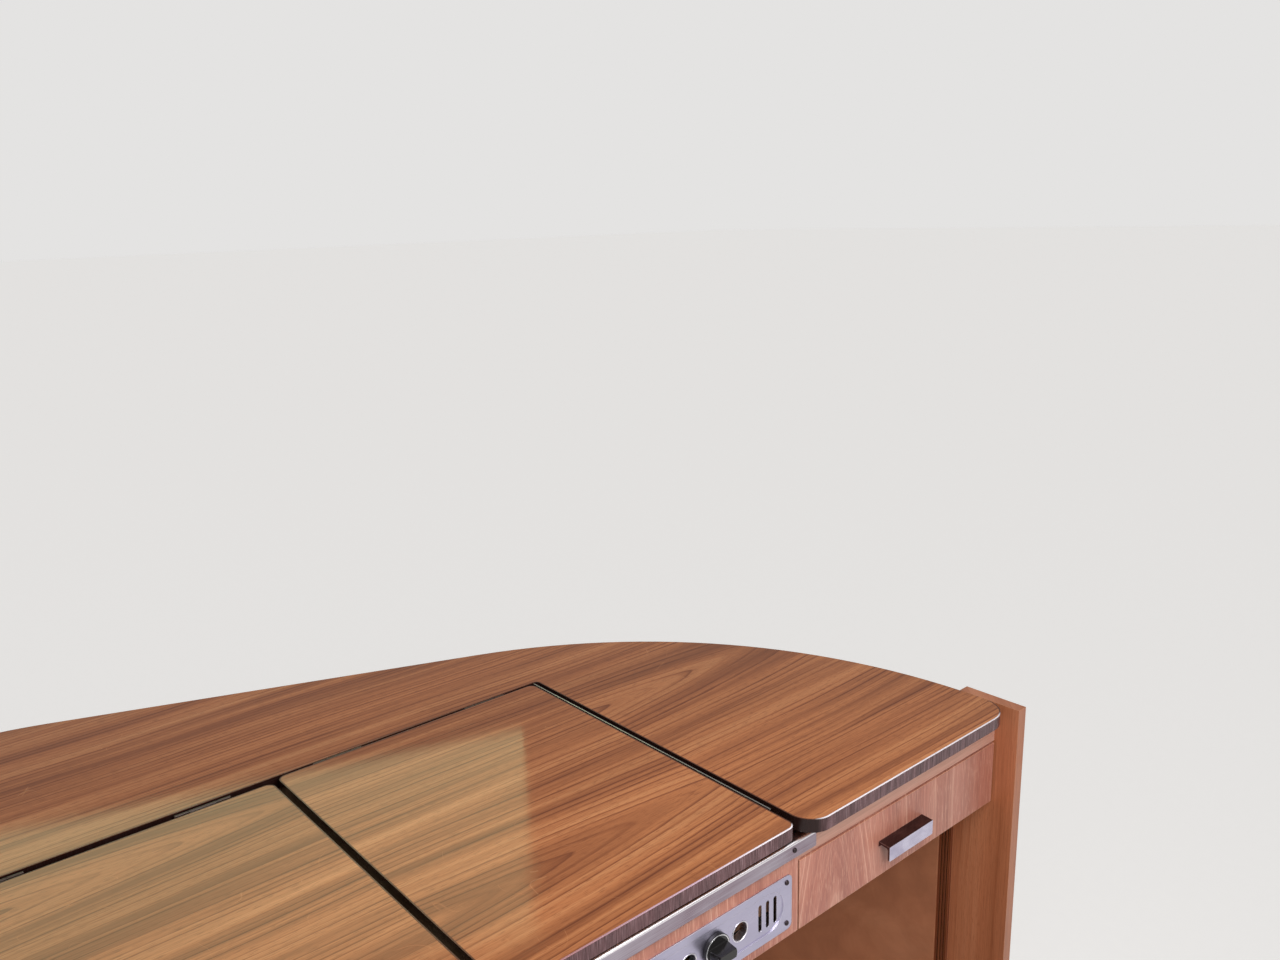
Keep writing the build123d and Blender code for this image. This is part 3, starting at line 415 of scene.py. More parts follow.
# Side board: a board on the caravan's side wall, with the same upright foil a little lighter, that
# closes the unit's right end. Its front edge is rubbed pale.
foil_shine = (0.30, 0.44, 0.2)
side_foil = wood_finish(
    "side board foil",
    "z",
    tones=((158, 94, 62), (174, 107, 73), (184, 115, 80), (196, 128, 92)),
    figure={"Heart": -0.24, "Depth": 0.02, "Lean": 0.05, "Rings": 95.0, "Eyes": 0.8},
    shine=foil_shine,
    seed=3.4,
    pale_edge=(202, 144, 106),
)
dress(side_foil, "side_board")

# Reveal moulding: a dark grooved strip that covers the joint between the side board and the wall
# lining. It is moulded, and pinned along its grooves.
reveal_finish, tree, shader = new_finish("dark grooved strip", Specular_IOR_Level=0.4)
streaks = noise(tree, stretched(tree, along(tree, "z"), 0.20, 0.002), detail=3.0)
strip_stops = (0.30, srgb(82, 38, 22)), (0.55, srgb(118, 62, 36)), (0.75, srgb(148, 84, 52))
colour = ramp(tree, streaks, *strip_stops)
colour = rubbed(tree, colour, (166, 100, 64), width=0.0015, strength=0.6)
worn = use_group(tree, handling, Clean=0.30, Dull=0.50, Scratches=0.2)
normal = soft_edge(tree, radius=0.0004)
wire_up(tree, shader, Base_Color=colour, Roughness=worn["Roughness"], Normal=normal)
dress(reveal_finish, "reveal_moulding")

# Fascia: the fixed front board under the lids, faced with a light reddish wood-print foil. The
# print's grain is upright and its sawn edges show pale. Behind the plate, the faces of its cut-out
# are drawn near black as painted shade.
front_tones = ((218, 167, 146), (188, 126, 108), (176, 113, 96), (160, 98, 84))
front_edge = (222, 172, 136)
front_rings = {"Rings": 130.0, "Eyes": 1.4, "Late": 0.22}
fascia_foil = wood_finish(
    "reddish fascia foil",
    "z",
    tones=front_tones,
    figure={**front_rings, "Heart": -0.30, "Start": 0.75, "Depth": 0.010, "Lean": 0.20},
    shine=foil_shine,
    seed=5.2,
    pale_edge=front_edge,
)
foil_skin = 0.0010      # the painted shade begins this far behind the face
fascia_tree = fascia_foil.node_tree
fascia_shader = shader_of(fascia_foil)
faced = fascia_shader.inputs["Base Color"].links[0].from_socket
cut_x, cut_y, cut_z = place_axes(fascia_tree)
cut_low, cut_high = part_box("control_plate")
# Painted shade: every face behind the foil's front, within the plate's outline, is drawn near black.
cutout_shade_mask = maths(fascia_tree, "GREATER_THAN", cut_y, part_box("fascia")[0].y + foil_skin)
for value, low, high in ((cut_x, cut_low.x, cut_high.x), (cut_z, cut_low.z, cut_high.z)):
    above = maths(fascia_tree, "GREATER_THAN", value, low)
    cutout_shade_mask = maths(fascia_tree, "MULTIPLY", cutout_shade_mask, above)
    below = maths(fascia_tree, "LESS_THAN", value, high)
    cutout_shade_mask = maths(fascia_tree, "MULTIPLY", cutout_shade_mask, below)
painted = blend_colours(fascia_tree, cutout_shade_mask, faced, srgb(26, 20, 18))
wire_up(fascia_tree, fascia_shader, Base_Color=painted)
dress(fascia_foil, "fascia")

# Top rail: a tan wooden rail between the fixed corner top and the drawer, screwed to the cheeks.
# It is plain wood, with its grain along the counter.
rail_wood = wood_finish(
    "tan rail wood",
    "x",
    tones=((196, 144, 126), (206, 156, 138), (212, 164, 146), (218, 172, 154)),
    figure={"Heart": 1.2, "Depth": 0.3, "Lean": 0.02, "Rings": 160.0, "Eyes": 0.8},
    shine=(0.40, 0.55, 0.0),
    seed=6.1,
    pale_edge=(234, 200, 182),
)
dress(rail_wood, "top_rail")

# Worktop: chipboard with a glossy walnut-print laminate. It is cut round the two lids in one piece,
# and the print runs along the counter.
walnut_tones = ((116, 62, 36), (152, 90, 54), (184, 116, 72), (206, 140, 92))
walnut_shine = (0.07, 0.13, 0.5)
walnut_gloss = {"Specular_IOR_Level": 0.24}
walnut_rings = {"Lean": 0.10, "Rings": 130.0, "Late": 0.30}
walnut = wood_finish(
    "walnut laminate",
    "x",
    tones=walnut_tones,
    figure={**walnut_rings, "Heart": 0.84, "Depth": 0.012, "Eyes": 1.1},
    shine=walnut_shine,
    **walnut_gloss,
)
dress(walnut, "worktop")

# Edging: a hard plastic strip glued round the laminated boards, printed dark grey-brown with short
# upright lines. Along the straight front its top corner is drawn pale as a painted highlight, and its
# left-facing sides and the strip set back in the gaps are drawn near black as painted shade.
strip_top = 0.0007                  # depth of the strip that counts as its top face
highlight_start = 0.0060               # how far back from the front the painted highlight begins
highlight_full = 0.0018                # and where the painted highlight is full
highlight_from, highlight_to = -0.10, 0.18      # along the counter, where the painted highlight goes from dull to bright
gap_depth = 0.05                    # everything further back than this lies in a gap, where the strip is drawn as painted shade


def lined_edging(name, straight_front):
    """The printed strip, with a painted highlight on top of the straight front and painted shade on
    its left-facing sides and in the gaps.
    """
    material, tree, shader = new_finish(name, Specular_IOR_Level=0.3)
    upright = along(tree, "z")
    lines = noise(tree, stretched(tree, upright, 0.030, 0.0007), detail=3.0, rough=0.7)
    groups = noise(tree, stretched(tree, upright, 0.300, 0.011), detail=2.5)
    print_places = (0.30, 0.44, 0.58, 0.74)
    print_tones = (srgb(46, 24, 26), srgb(86, 57, 60), srgb(118, 88, 92), srgb(172, 146, 152))
    colour = ramp(tree, lines, *zip(print_places, print_tones))
    colour = shaded(tree, colour, groups, (0.35, 0.55), (0.65, 1.1), amount=0.6)
    edge_x, edge_y, edge_z = place_axes(tree)
    top_face = maths(tree, "GREATER_THAN", edge_z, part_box("worktop")[1].z - strip_top)
    colour = blend_colours(tree, top_face, colour, srgb(92, 50, 32))
    # Painted highlight: the top of the straight front is drawn pale, from dull pink at the left to
    # white at the right.
    highlight_band = {"start": straight_front + highlight_start, "end": straight_front + highlight_full}
    painted_highlight = maths(tree, "MULTIPLY", top_face, rescaled(tree, edge_y, **highlight_band))
    highlight_fade = rescaled(tree, edge_x, start=highlight_from, end=highlight_to)
    highlight_tones = (srgb(168, 120, 124), srgb(204, 174, 192), srgb(246, 238, 246))
    bright = ramp(tree, highlight_fade, *zip((0.0, 0.55, 0.9), highlight_tones))
    colour = blend_colours(tree, painted_highlight, colour, bright)
    # Painted shade: faces turned to the left, and the sides of the strip set back in the gaps, are
    # drawn near black.
    left_face_shade = rescaled(tree, facing_axes(tree)[0], start=-0.10, end=-0.50)
    set_back = maths(tree, "GREATER_THAN", edge_y, straight_front + gap_depth)
    painted_gap_shade = maths(tree, "MAXIMUM", left_face_shade, maths(tree, "SUBTRACT", set_back, top_face))
    colour = laid_over(tree, colour, painted_gap_shade, (30, 13, 9), strength=0.95)
    worn = use_group(tree, handling, Clean=0.22, Dull=0.36, Scratches=0.3)
    normal = raised(tree, lines, distance=0.0002, strength=0.4, radius=0.0006)
    wire_up(tree, shader, Base_Color=colour, Roughness=worn["Roughness"], Normal=normal)
    return material


dress(lined_edging("lined worktop edging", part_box("worktop_edging")[0].y), "worktop_edging")
lid_edging = lined_edging("lined lid edging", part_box("lid_right_edging")[0].y)
dress(lid_edging, "lid_left_edging", "lid_right_edging")

# Hob top and sink top: pressed stainless sheet with front lips turned over in a roll, hung in the
# counter under the lids. It is brushed along the counter, and dull patches and hair scratches show
# use. The top of each lip's roll is drawn white as a painted highlight.


def between(tree, value, first, second):
    """A colour from a first tone, where the value is 0, to a second one, where it is 1."""
    return blend_colours(tree, value, srgb(*first), srgb(*second))


def brushed_tone(tree, spot, line_size, cloud_size, line_share, cloud_detail=3.0, swirl=0.5):
    """Fine brushed lines, and the tone that they make with slow clouds. Sizes are (long, wide)."""
    line_spot = stretched(tree, spot, *line_size)
    lines = noise(tree, line_spot, detail=3.0, rough=0.6)
    cloud_spot = stretched(tree, spot, *cloud_size)
    cloud = noise(tree, cloud_spot, detail=cloud_detail, rough=0.6, distortion=swirl)
    slow = maths(tree, "MULTIPLY", cloud, 1 - line_share)
    return lines, maths(tree, "MULTIPLY_ADD", lines, line_share, slow)


def brushed_shine(tree, lines, worn):
    """The worn roughness, a little higher and lower from line to line."""
    line_depth = 0.10
    smoother = maths(tree, "SUBTRACT", worn["Roughness"], line_depth / 2)
    return maths(tree, "MULTIPLY_ADD", lines, line_depth, smoother)


def brushed(name, axis, light, dark, shine, line_width=0.0006, roll_highlight=None):
    """Brushed metal: fine lines along one axis, dull patches, and a painted highlight where a roll
    faces up and forward.
    """
    material, tree, shader = new_finish(name, Metallic=1.0)
    sizes = {"line_size": (0.07, line_width), "cloud_size": (0.11, 0.05)}
    lines, tone = brushed_tone(tree, along(tree, axis), **sizes, line_share=0.5)
    tone = ramp(tree, tone, (0.35, 0.0), (0.65, 1.0))
    colour = between(tree, tone, dark, light)
    if roll_highlight is not None:
        # Painted highlight: faces turned up and forward, which only the lip's roll has, are drawn
        # near white.
        facing = facing_axes(tree)
        both = maths(tree, "MULTIPLY", maths(tree, "MULTIPLY", facing[1], -1.0), facing[2])
        lip = ramp(tree, both, (0.02, 0.0), (0.14, 1.0))
        colour = blend_colours(tree, lip, colour, srgb(*roll_highlight))
    clean, dull, scratches = shine
    worn = use_group(tree, handling, Clean=clean, Dull=dull, Scratches=scratches)
    rough = brushed_shine(tree, lines, worn)
    normal = raised(tree, lines, distance=0.00006, strength=0.4, radius=0.0008)
    wire_up(tree, shader, Base_Color=colour, Roughness=rough, Normal=normal)
    return material


# The clouds run from grey to a pinkish brown. The tone that varies is the steel's own, and the
# pinkish brown is painted reflection of the warm wood around it.
pressed_steel = brushed(
    "pressed steel",
    "x",
    light=(188, 180, 192),
    dark=(144, 124, 136),
    shine=(0.26, 0.38, 0.3),
    roll_highlight=(255, 250, 255),
)
dress(pressed_steel, "hob_top", "sink_top")
bowl_steel = brushed(
    "drawn bowl steel",
    "x",
    light=(196, 196, 197),
    dark=(166, 166, 168),
    shine=(0.24, 0.36, 0.3),
    line_width=0.0012,
)
dress(bowl_steel, "sink_bowl")

# Pan support: zinc-plated wire, bent and welded. It stands in the hob's recess and carries the
# pans over both burners.
plated = brushed(
    "zinc plated steel",
    "x",
    light=(196, 194, 192),
    dark=(150, 148, 148),
    shine=(0.30, 0.45, 0.0),
    line_width=0.002,
)
dress(plated, "pan_support")

# Burners: cast aluminium bases under black enamelled caps. A toothed crown on each base parts the
# flames.
cast, tree, shader = new_finish("cast aluminium", Metallic=1.0, Roughness=0.45)
grit = noise(tree, object_spot(tree), detail=3.0, scale=700.0)
colour = between(tree, grit, (150, 150, 150), (190, 190, 190))
normal = raised(tree, grit, distance=0.0003, strength=0.5, radius=0.0006)
wire_up(tree, shader, Base_Color=colour, Normal=normal)
dress(cast, "burner_bases")

enamel, tree, shader = new_finish("black enamel", Coat_Weight=0.5, Coat_Roughness=0.1)
peel = noise(tree, object_spot(tree), detail=2.0, scale=260.0)
colour = between(tree, peel, (16, 16, 17), (34, 33, 33))
worn = use_group(tree, handling, Clean=0.20, Dull=0.42, Scratches=0.2)
normal = raised(tree, peel, distance=0.0002, strength=0.3, radius=0.0006)
wire_up(tree, shader, Base_Color=colour, Roughness=worn["Roughness"], Normal=normal)
dress(enamel, "burner_caps")


def add_ring(shell, matrix, radius, height, segments):
    """A ring of points in a mesh, about the matrix's z axis."""
    points = []
    for step in range(segments):
        turn = 2 * math.pi * step / segments
        point = Vector((radius * math.cos(turn), radius * math.sin(turn), height))
        points.append(shell.verts.new(matrix @ point))
    return points


def turned(shell, matrix, profile, segments):
    """A turned shape from (radius, height) points: a closed outline, or one ending on the axis."""
    rings = [add_ring(shell, matrix, *point, segments) for point in profile if point[0] > 0]
    closed = profile[0][0] > 0 and profile[-1][0] > 0
    pairs = list(zip(rings, rings[1:])) + ([(rings[-1], rings[0])] if closed else [])
    for low, high in pairs:
        for step in range(segments):
            after = (step + 1) % segments
            shell.faces.new((low[step], low[after], high[after], high[step]))
    for (radius, height), ring in ((profile[0], rings[0]), (profile[-1], rings[-1])):
        if radius == 0:
            pole = shell.verts.new(matrix @ Vector((0, 0, height)))
            for step in range(segments):
                shell.faces.new((pole, ring[step], ring[(step + 1) % segments]))


smooth_below = math.radians(35)     # edges that turn less than this are shaded smooth


def new_piece(name, shell, material, body):
    """Makes an object of a mesh, shades it smooth between its edges, and rides it on its body."""
    bmesh.ops.recalc_face_normals(shell, faces=shell.faces)
    mesh = bpy.data.meshes.new(name)
    shell.to_mesh(mesh)
    shell.free()
    mesh.materials.append(material)
    mesh.polygons.foreach_set("use_smooth", [True] * len(mesh.polygons))
    mesh.set_sharp_from_angle(angle=smooth_below)
    piece = bpy.data.objects.new(name, mesh)
    bpy.context.scene.collection.objects.link(piece)
    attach(piece, body)
    return piece


def islands(name):
    """The middle, lowest and highest corner of each separate solid in a CAD node's mesh."""
    shell = bmesh.new()
    shell.from_mesh(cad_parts[name].data)
    bmesh.ops.remove_doubles(shell, verts=shell.verts, dist=0.00001)
    found = []
    left = set(shell.verts)
    while left:
        group = {left.pop()}
        front = set(group)
        while front:
            front = {e.other_vert(v) for v in front for e in v.link_edges} - group
            group |= front
        left -= group
        low = Vector([min(v.co[i] for v in group) for i in range(3)])
        high = Vector([max(v.co[i] for v in group) for i in range(3)])
        found.append(((low + high) / 2, low, high))
    shell.free()
    return found


crown_teeth = 28
crown_drop = 0.0045
crown_gap = 0.0002          # under the cap
crown_spread = 0.93         # the teeth's ring, of the cap's radius
tooth_depth = 0.1           # of the cap's radius
tooth_round = 0.0004
shell = bmesh.new()
for middle, low, high in islands("burner_caps"):
    radius = (high.x - low.x) / 2
    crown_z = low.z - crown_drop / 2 - crown_gap
    width = math.pi * radius / crown_teeth
    tooth_size = Matrix.Diagonal((radius * tooth_depth, width, crown_drop, 1))
    for tooth in range(crown_teeth):
        turn = Matrix.Rotation(2 * math.pi * tooth / crown_teeth, 4, "Z")
        place = Matrix.Translation((middle.x, middle.y, crown_z)) @ turn
        outward = Matrix.Translation((radius * crown_spread, 0, 0))
        block = bmesh.ops.create_cube(shell, size=1.0, matrix=place @ outward @ tooth_size)
        edges = list({e for v in block["verts"] for e in v.link_edges})
        bmesh.ops.bevel(shell, geom=edges, offset=tooth_round, segments=1, affect="EDGES")
new_piece("burner_crowns", shell, cast, "unit")

# Waste: a white moulded fitting through the bowl's hole, held by a rim above and a nut below. Two
# crossed bars strain the water. The drawer's runners are of the same plastic.
white_plastic, tree, shader = new_finish("white moulded plastic")
fine = noise(tree, object_spot(tree), detail=2.0, scale=300.0)
colour = between(tree, fine, (214, 212, 204), (230, 228, 222))
worn = use_group(tree, handling, Clean=0.35, Dull=0.50, Scratches=0.0)
normal = soft_edge(tree, radius=0.0008)
wire_up(tree, shader, Base_Color=colour, Roughness=worn["Roughness"], Normal=normal)
dress(white_plastic, "sink_waste", "drawer_runners")

# Tap: chromed brass, standing on the ledge behind the bowl. Its bent spout swings over the bowl
# to both sides.
chrome, tree, shader = new_finish("tap chrome", Metallic=1.0)
worn = use_group(tree, handling, Clean=0.05, Dull=0.14, Scratches=0.3)
colour = between(tree, worn["Patch"], (232, 232, 236), (214, 216, 220))
normal = soft_edge(tree, radius=0.0008)
wire_up(tree, shader, Base_Color=colour, Roughness=worn["Roughness"], Normal=normal)
dress(chrome, "tap_body", "tap_spout")

# Gas valves and pipes: dull brass, bent and clamped behind the control plate. The supply comes up
# from below, and a feed runs from each valve to its burner.
brass, tree, shader = new_finish("dull brass", Metallic=1.0)
worn = use_group(tree, handling, Clean=0.28, Dull=0.50, Scratches=0.2)
colour = between(tree, worn["Patch"], (214, 172, 104), (150, 108, 64))
normal = soft_edge(tree, radius=0.0005)
wire_up(tree, shader, Base_Color=colour, Roughness=worn["Roughness"], Normal=normal)
dress(brass, "gas_valves", "gas_pipe", "gas_feeds")

# Valve screen: a board between the partition and the drawer cheek, behind the slots, that closes the
# valve space off from the bay. It is pinned to both. Below a line it is drawn black as painted shade
# behind the slots, and above the line it is bare brown board.
screen_front = -0.3700
screen_thickness = 0.0030
screen_clearance = 0.001
screen_round = 0.0006
shade_line = 0.763
# Painted shade: the board is near black below this height, and bare brown above it.
screen_shade_finish, tree, shader = new_finish("flat black paint", Roughness=0.7)
brush_marks = noise(tree, stretched(tree, along(tree, "x"), 0.12, 0.002), detail=3.0)
painted_shade = between(tree, brush_marks, (20, 17, 16), (40, 35, 33))
bare_board = between(tree, brush_marks, (206, 152, 122), (232, 180, 148))
above_shade = maths(tree, "GREATER_THAN", place_axes(tree)[2], shade_line)
colour = blend_colours(tree, above_shade, painted_shade, bare_board)
normal = raised(tree, brush_marks, distance=0.0002, strength=0.4, radius=0.0005)
wire_up(tree, shader, Base_Color=colour, Normal=normal)
screen_low = Vector(
    (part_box("partition")[1].x, screen_front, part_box("fascia")[0].z + screen_clearance)
)
screen_high = Vector(
    (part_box("cheek_left")[0].x, screen_front + screen_thickness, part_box("sub_top")[0].z)
)
screen_size = Matrix.Diagonal((*(screen_high - screen_low), 1))
place = Matrix.Translation((screen_low + screen_high) / 2)
shell = bmesh.new()
bmesh.ops.create_cube(shell, size=1.0, matrix=place @ screen_size)
bmesh.ops.bevel(shell, geom=shell.edges[:], offset=screen_round, segments=2, affect="EDGES")
new_piece("valve_screen", shell, screen_shade_finish, "unit")

# Control plate: pressed steel with a pressed-in middle field, slots and sight holes, screwed to the
# fascia. The edges of the holes are turned in and shine.
plate_steel, tree, shader = new_finish("control plate steel", Metallic=1.0)
lines, tone = brushed_tone(
    tree, along(tree, "x"), line_size=(0.05, 0.0005), cloud_size=(0.08, 0.03), line_share=0.4
)
tone = ramp(tree, tone, (0.35, 0.0), (0.65, 1.0))
colour = between(tree, tone, (184, 180, 204), (198, 194, 216))
colour = rubbed(tree, colour, (240, 238, 244), width=0.0009, strength=0.6)
worn = use_group(tree, handling, Clean=0.26, Dull=0.40, Scratches=0.3)
rough = brushed_shine(tree, lines, worn)
normal = raised(tree, lines, distance=0.00005, strength=0.4, radius=0.0012)
wire_up(tree, shader, Base_Color=colour, Roughness=rough, Normal=normal)
dress(plate_steel, "control_plate")

plate_low, plate_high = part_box("control_plate")
hole_middle_z = (plate_low.z + plate_high.z) / 2
field_depth = 0.0012
field_face = plate_low.y + field_depth
facing_front = Matrix.Rotation(math.radians(90), 4, "X")
first_sight_inset = 0.0763      # from the plate's right end
control_pitch = 0.0356          # from each sight hole to the knob beside it
control_xs = [plate_high.x - first_sight_inset - step * control_pitch for step in range(5)]
sight_xs = control_xs[0::2]
knob_xs = control_xs[1::2]

sight_radius = 0.0105
rim_width = 0.0009
rim_height = 0.0006
rim_round = 0.0003
rim_slope = 0.0001
sleeve_length = 0.0090
sleeve_outer = sight_radius - 0.0002
sleeve_inner = sight_radius - 0.0006
sleeve_outline = (
    (sight_radius + rim_width, 0.0),
    (sight_radius + rim_width - rim_round, rim_height - rim_slope),
    (sight_radius - rim_slope, rim_height),
    (sleeve_inner, 0.0),
    (sleeve_inner, -sleeve_length),
    (sleeve_outer, -sleeve_length),
    (sleeve_outer, 0.0),
)
shell = bmesh.new()
for hole_x in sight_xs:
    place = Matrix.Translation((hole_x, field_face, hole_middle_z)) @ facing_front
    turned(shell, place, sleeve_outline, segments=48)
sleeve_steel = brushed(
    "bright turned-in steel",
    "y",
    light=(250, 248, 255),
    dark=(226, 224, 234),
    shine=(0.22, 0.34, 0.0),
)
new_piece("sight_hole_sleeves", shell, sleeve_steel, "unit")

# Screws: small dark pan heads with a cross cut in them, through the plate's corners and the hob
# lip's end.
screw_black, tree, shader = new_finish("blackened screw steel", Metallic=1.0, Roughness=0.32)
fine = noise(tree, object_spot(tree), detail=3.0, scale=900.0)
colour = between(tree, fine, (44, 36, 38), (92, 80, 84))
colour = rubbed(tree, colour, (150, 138, 142), width=0.0004, strength=0.5)
wire_up(tree, shader, Base_Color=colour, Normal=soft_edge(tree, radius=0.0003))

head_radius = 0.0028
head_height = 0.0016
cross_width = 0.0007
cross_length = 1.3              # of the head's radius
head_outline = (
    (0, 0),
    (head_radius, 0),
    (head_radius, head_height * 0.3),
    (head_radius * 0.86, head_height * 0.75),
    (head_radius * 0.5, head_height),
    (0, head_height),
)


def cross_head_mesh():
    """One screw head with a cross recess, its seat at the origin, facing up."""
    shell = bmesh.new()
    turned(shell, Matrix.Identity(4), head_outline, segments=24)
    head_mesh = bpy.data.meshes.new("cross head")
    bmesh.ops.recalc_face_normals(shell, faces=shell.faces)
    shell.to_mesh(head_mesh)
    shell.free()
    cutter_shell = bmesh.new()
    arm_size = Matrix.Diagonal((head_radius * cross_length, cross_width, head_height, 1))
    for turn in (0, 90):
        arm = Matrix.Translation((0, 0, head_height)) @ Matrix.Rotation(math.radians(turn), 4, "Z")
        bmesh.ops.create_cube(cutter_shell, size=1.0, matrix=arm @ arm_size)
    cutter_mesh = bpy.data.meshes.new("cross cutter")
    cutter_shell.to_mesh(cutter_mesh)
    cutter_shell.free()
    head = bpy.data.objects.new("cross head", head_mesh)
    cutter = bpy.data.objects.new("cross cutter", cutter_mesh)
    for item in (head, cutter):
        bpy.context.scene.collection.objects.link(item)
    cut = head.modifiers.new("recess", "BOOLEAN")
    cut.operation = "DIFFERENCE"
    cut.solver = "EXACT"
    cut.use_self = True
    cut.object = cutter
    cut_head = head.evaluated_get(bpy.context.evaluated_depsgraph_get())
    result = bpy.data.meshes.new_from_object(cut_head)
    for item in (head, cutter):
        bpy.data.objects.remove(item)
    return result


screw_mesh = cross_head_mesh()


def screws(name, places):
    """Screw heads at places on the front, each turned by its own chance."""
    first_x_mm = int(places[0][0] * 1000)
    chance = random.Random(len(places) + first_x_mm)
    shell = bmesh.new()
    for place in places:
        turn = Matrix.Rotation(chance.uniform(0, math.pi), 4, "Z")
        before = set(shell.verts)
        shell.from_mesh(screw_mesh)
        added = [v for v in shell.verts if v not in before]
        matrix = Matrix.Translation(place) @ facing_front @ turn
        bmesh.ops.transform(shell, matrix=matrix, verts=added)
    return new_piece(name, shell, screw_black, "unit")


screw_inset = 0.008
screw_rise = 0.024
screw_xs = (plate_low.x + screw_inset, plate_high.x - screw_inset)
screw_zs = (hole_middle_z - screw_rise, hole_middle_z + screw_rise)
screws("control_plate_screws", [(x, plate_low.y, z) for x in screw_xs for z in screw_zs])
lip_low, lip_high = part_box("hob_top")
lip_screw_inset = 0.034
lip_screw_drop = 0.009
lip_screw_place = (lip_high.x - lip_screw_inset, lip_low.y, lip_high.z - lip_screw_drop)
screws("hob_lip_screw", [lip_screw_place])

# Knobs: moulded glossy black plastic with a bright ring let into the skirt's face and a waisted
# grip. Each one pushes on to its valve shaft.
knob_plastic, tree, shader = new_finish("black knob plastic")
fine = noise(tree, object_spot(tree), detail=2.0, scale=500.0)
colour = between(tree, fine, (14, 13, 14), (30, 28, 29))
worn = use_group(tree, handling, Clean=0.12, Dull=0.26, Scratches=0.2)
normal = soft_edge(tree, radius=0.0012)
wire_up(tree, shader, Base_Color=colour, Roughness=worn["Roughness"], Normal=normal)
dress(knob_plastic, "control_knobs")

ring_radius = 0.0152
ring_foot = 0.0008              # half of the ring's width at the skirt
ring_top = 0.0005               # and half of its width on top
ring_height = 0.0005
skirt_depth = 0.0043            # from the field to the skirt's face
skirt_face = field_face - skirt_depth
ring_outline = (
    (ring_radius + ring_foot, 0.0),
    (ring_radius + ring_top, ring_height),
    (ring_radius - ring_top, ring_height),
    (ring_radius - ring_foot, 0.0),
)
shell = bmesh.new()
for knob_x in knob_xs:
    place = Matrix.Translation((knob_x, skirt_face, hole_middle_z)) @ facing_front
    turned(shell, place, ring_outline, segments=64)
new_piece("knob_rings", shell, chrome, "unit")

# Gap profile and strip hinges: a thin bright metal profile down the gap beside the right lid, and
# hinge leaves behind both lids, drawn dark brown as painted shade of the gap they lie in.
profile_metal = brushed(
    "bright profile",
    "y",
    light=(198, 192, 186),
    dark=(168, 162, 158),
    shine=(0.24, 0.36, 0.2),
    line_width=0.0030,
)
dress(profile_metal, "gap_profile")
# Painted shade: the hinge leaves are a near black-brown, as dark as the gap behind the lids.
hinge_shade_brown, tree, shader = new_finish("brown lacquered steel")
chipped = noise(tree, object_spot(tree), detail=3.0, rough=0.6, scale=120.0)
colour = between(tree, chipped, (34, 19, 13), (66, 38, 26))
worn = use_group(tree, handling, Clean=0.30, Dull=0.50, Scratches=0.0)
normal = soft_edge(tree, radius=0.0005)
wire_up(tree, shader, Base_Color=colour, Roughness=worn["Roughness"], Normal=normal)
dress(hinge_shade_brown, "strip_hinges", "lid_left_hinges", "lid_right_hinges")

# Lids: two boards like the worktop's, each cut from its own sheet, so that their figure doesn't run
# on. They lie on rubber buffers and hinge up at the back.
lid_figures = {
    "left": {**walnut_rings, "Heart": 0.90, "Depth": 0.014, "Eyes": 1.1},
    "right": {**walnut_rings, "Heart": 0.615, "Depth": 0.010, "Eyes": 0.9},
}
for side_name, figure in lid_figures.items():
    lid_laminate = wood_finish(
        f"walnut laminate {side_name} lid",
        "x",
        tones=walnut_tones,
        figure=figure,
        shine=walnut_shine,
        **walnut_gloss,
    )
    dress(lid_laminate, f"lid_{side_name}_board")

rubber, tree, shader = new_finish("black rubber", Roughness=0.8)
fine = noise(tree, object_spot(tree), detail=3.0, scale=800.0)
colour = between(tree, fine, (22, 22, 22), (40, 39, 38))
normal = raised(tree, fine, distance=0.0003, strength=0.4, radius=0.0005)
wire_up(tree, shader, Base_Color=colour, Normal=normal)
dress(rubber, "lid_buffers")

# Drawer: a front of the same board as the fascia, cut from another place in the sheet, on a box of
# pale plywood that runs on moulded runners.
drawer_foil = wood_finish(
    "reddish drawer foil",
    "z",
    tones=front_tones,
    figure={
        "Heart": -0.6415,
        "Start": 0.745,
        "Depth": 0.006,
        "Lean": 0.28,
        "Rings": 140.0,
        "Eyes": 0.9,
        "Late": 0.26,
    },
    shine=foil_shine,
    pale_edge=front_edge,
)
dress(drawer_foil, "drawer_front")
dress(plywoods["upright"], "drawer_side_left", "drawer_side_right")
dress(plywoods["across"], "drawer_back")
dress(plywoods["lying"], "drawer_bottom")

# Handles: extruded aluminium angle, screwed from behind to the drawer and doors. The turned-down
# front is drawn pale as painted reflection of the light in front of it, and its corners are rubbed.
# The top plate is drawn dark brown as painted reflection of the drawer front above it.
anodised, tree, shader = new_finish("anodised aluminium", Metallic=1.0)
drawn = brushed_tone(
    tree,
    along(tree, "x"),
    line_size=(0.07, 0.0005),
    cloud_size=(0.030, 0.020),
    line_share=0.3,
    cloud_detail=4.0,
    swirl=0.6,
)
tone = ramp(tree, drawn[1], (0.38, 0.0), (0.62, 1.0))
# Painted reflection: faces turned to the front are drawn pale, and the top is drawn dark brown.
painted_light_front = between(tree, tone, (190, 184, 208), (222, 218, 238))
painted_dark_top = between(tree, tone, (70, 56, 58), (104, 88, 90))
to_the_front = maths(tree, "MULTIPLY", facing_axes(tree)[1], -1.0)
reflection_mask = ramp(tree, to_the_front, (0.45, 0.0), (0.75, 1.0))
colour = blend_colours(tree, reflection_mask, painted_dark_top, painted_light_front)
colour = rubbed(tree, colour, (244, 240, 248), width=0.0008, strength=0.6)
worn = use_group(tree, handling, Clean=0.16, Dull=0.32, Scratches=0.3)
normal = soft_edge(tree, radius=0.0004)
wire_up(tree, shader, Base_Color=colour, Roughness=worn["Roughness"], Normal=normal)
dress(anodised, "drawer_handle", "door_left_handle", "door_right_handle")

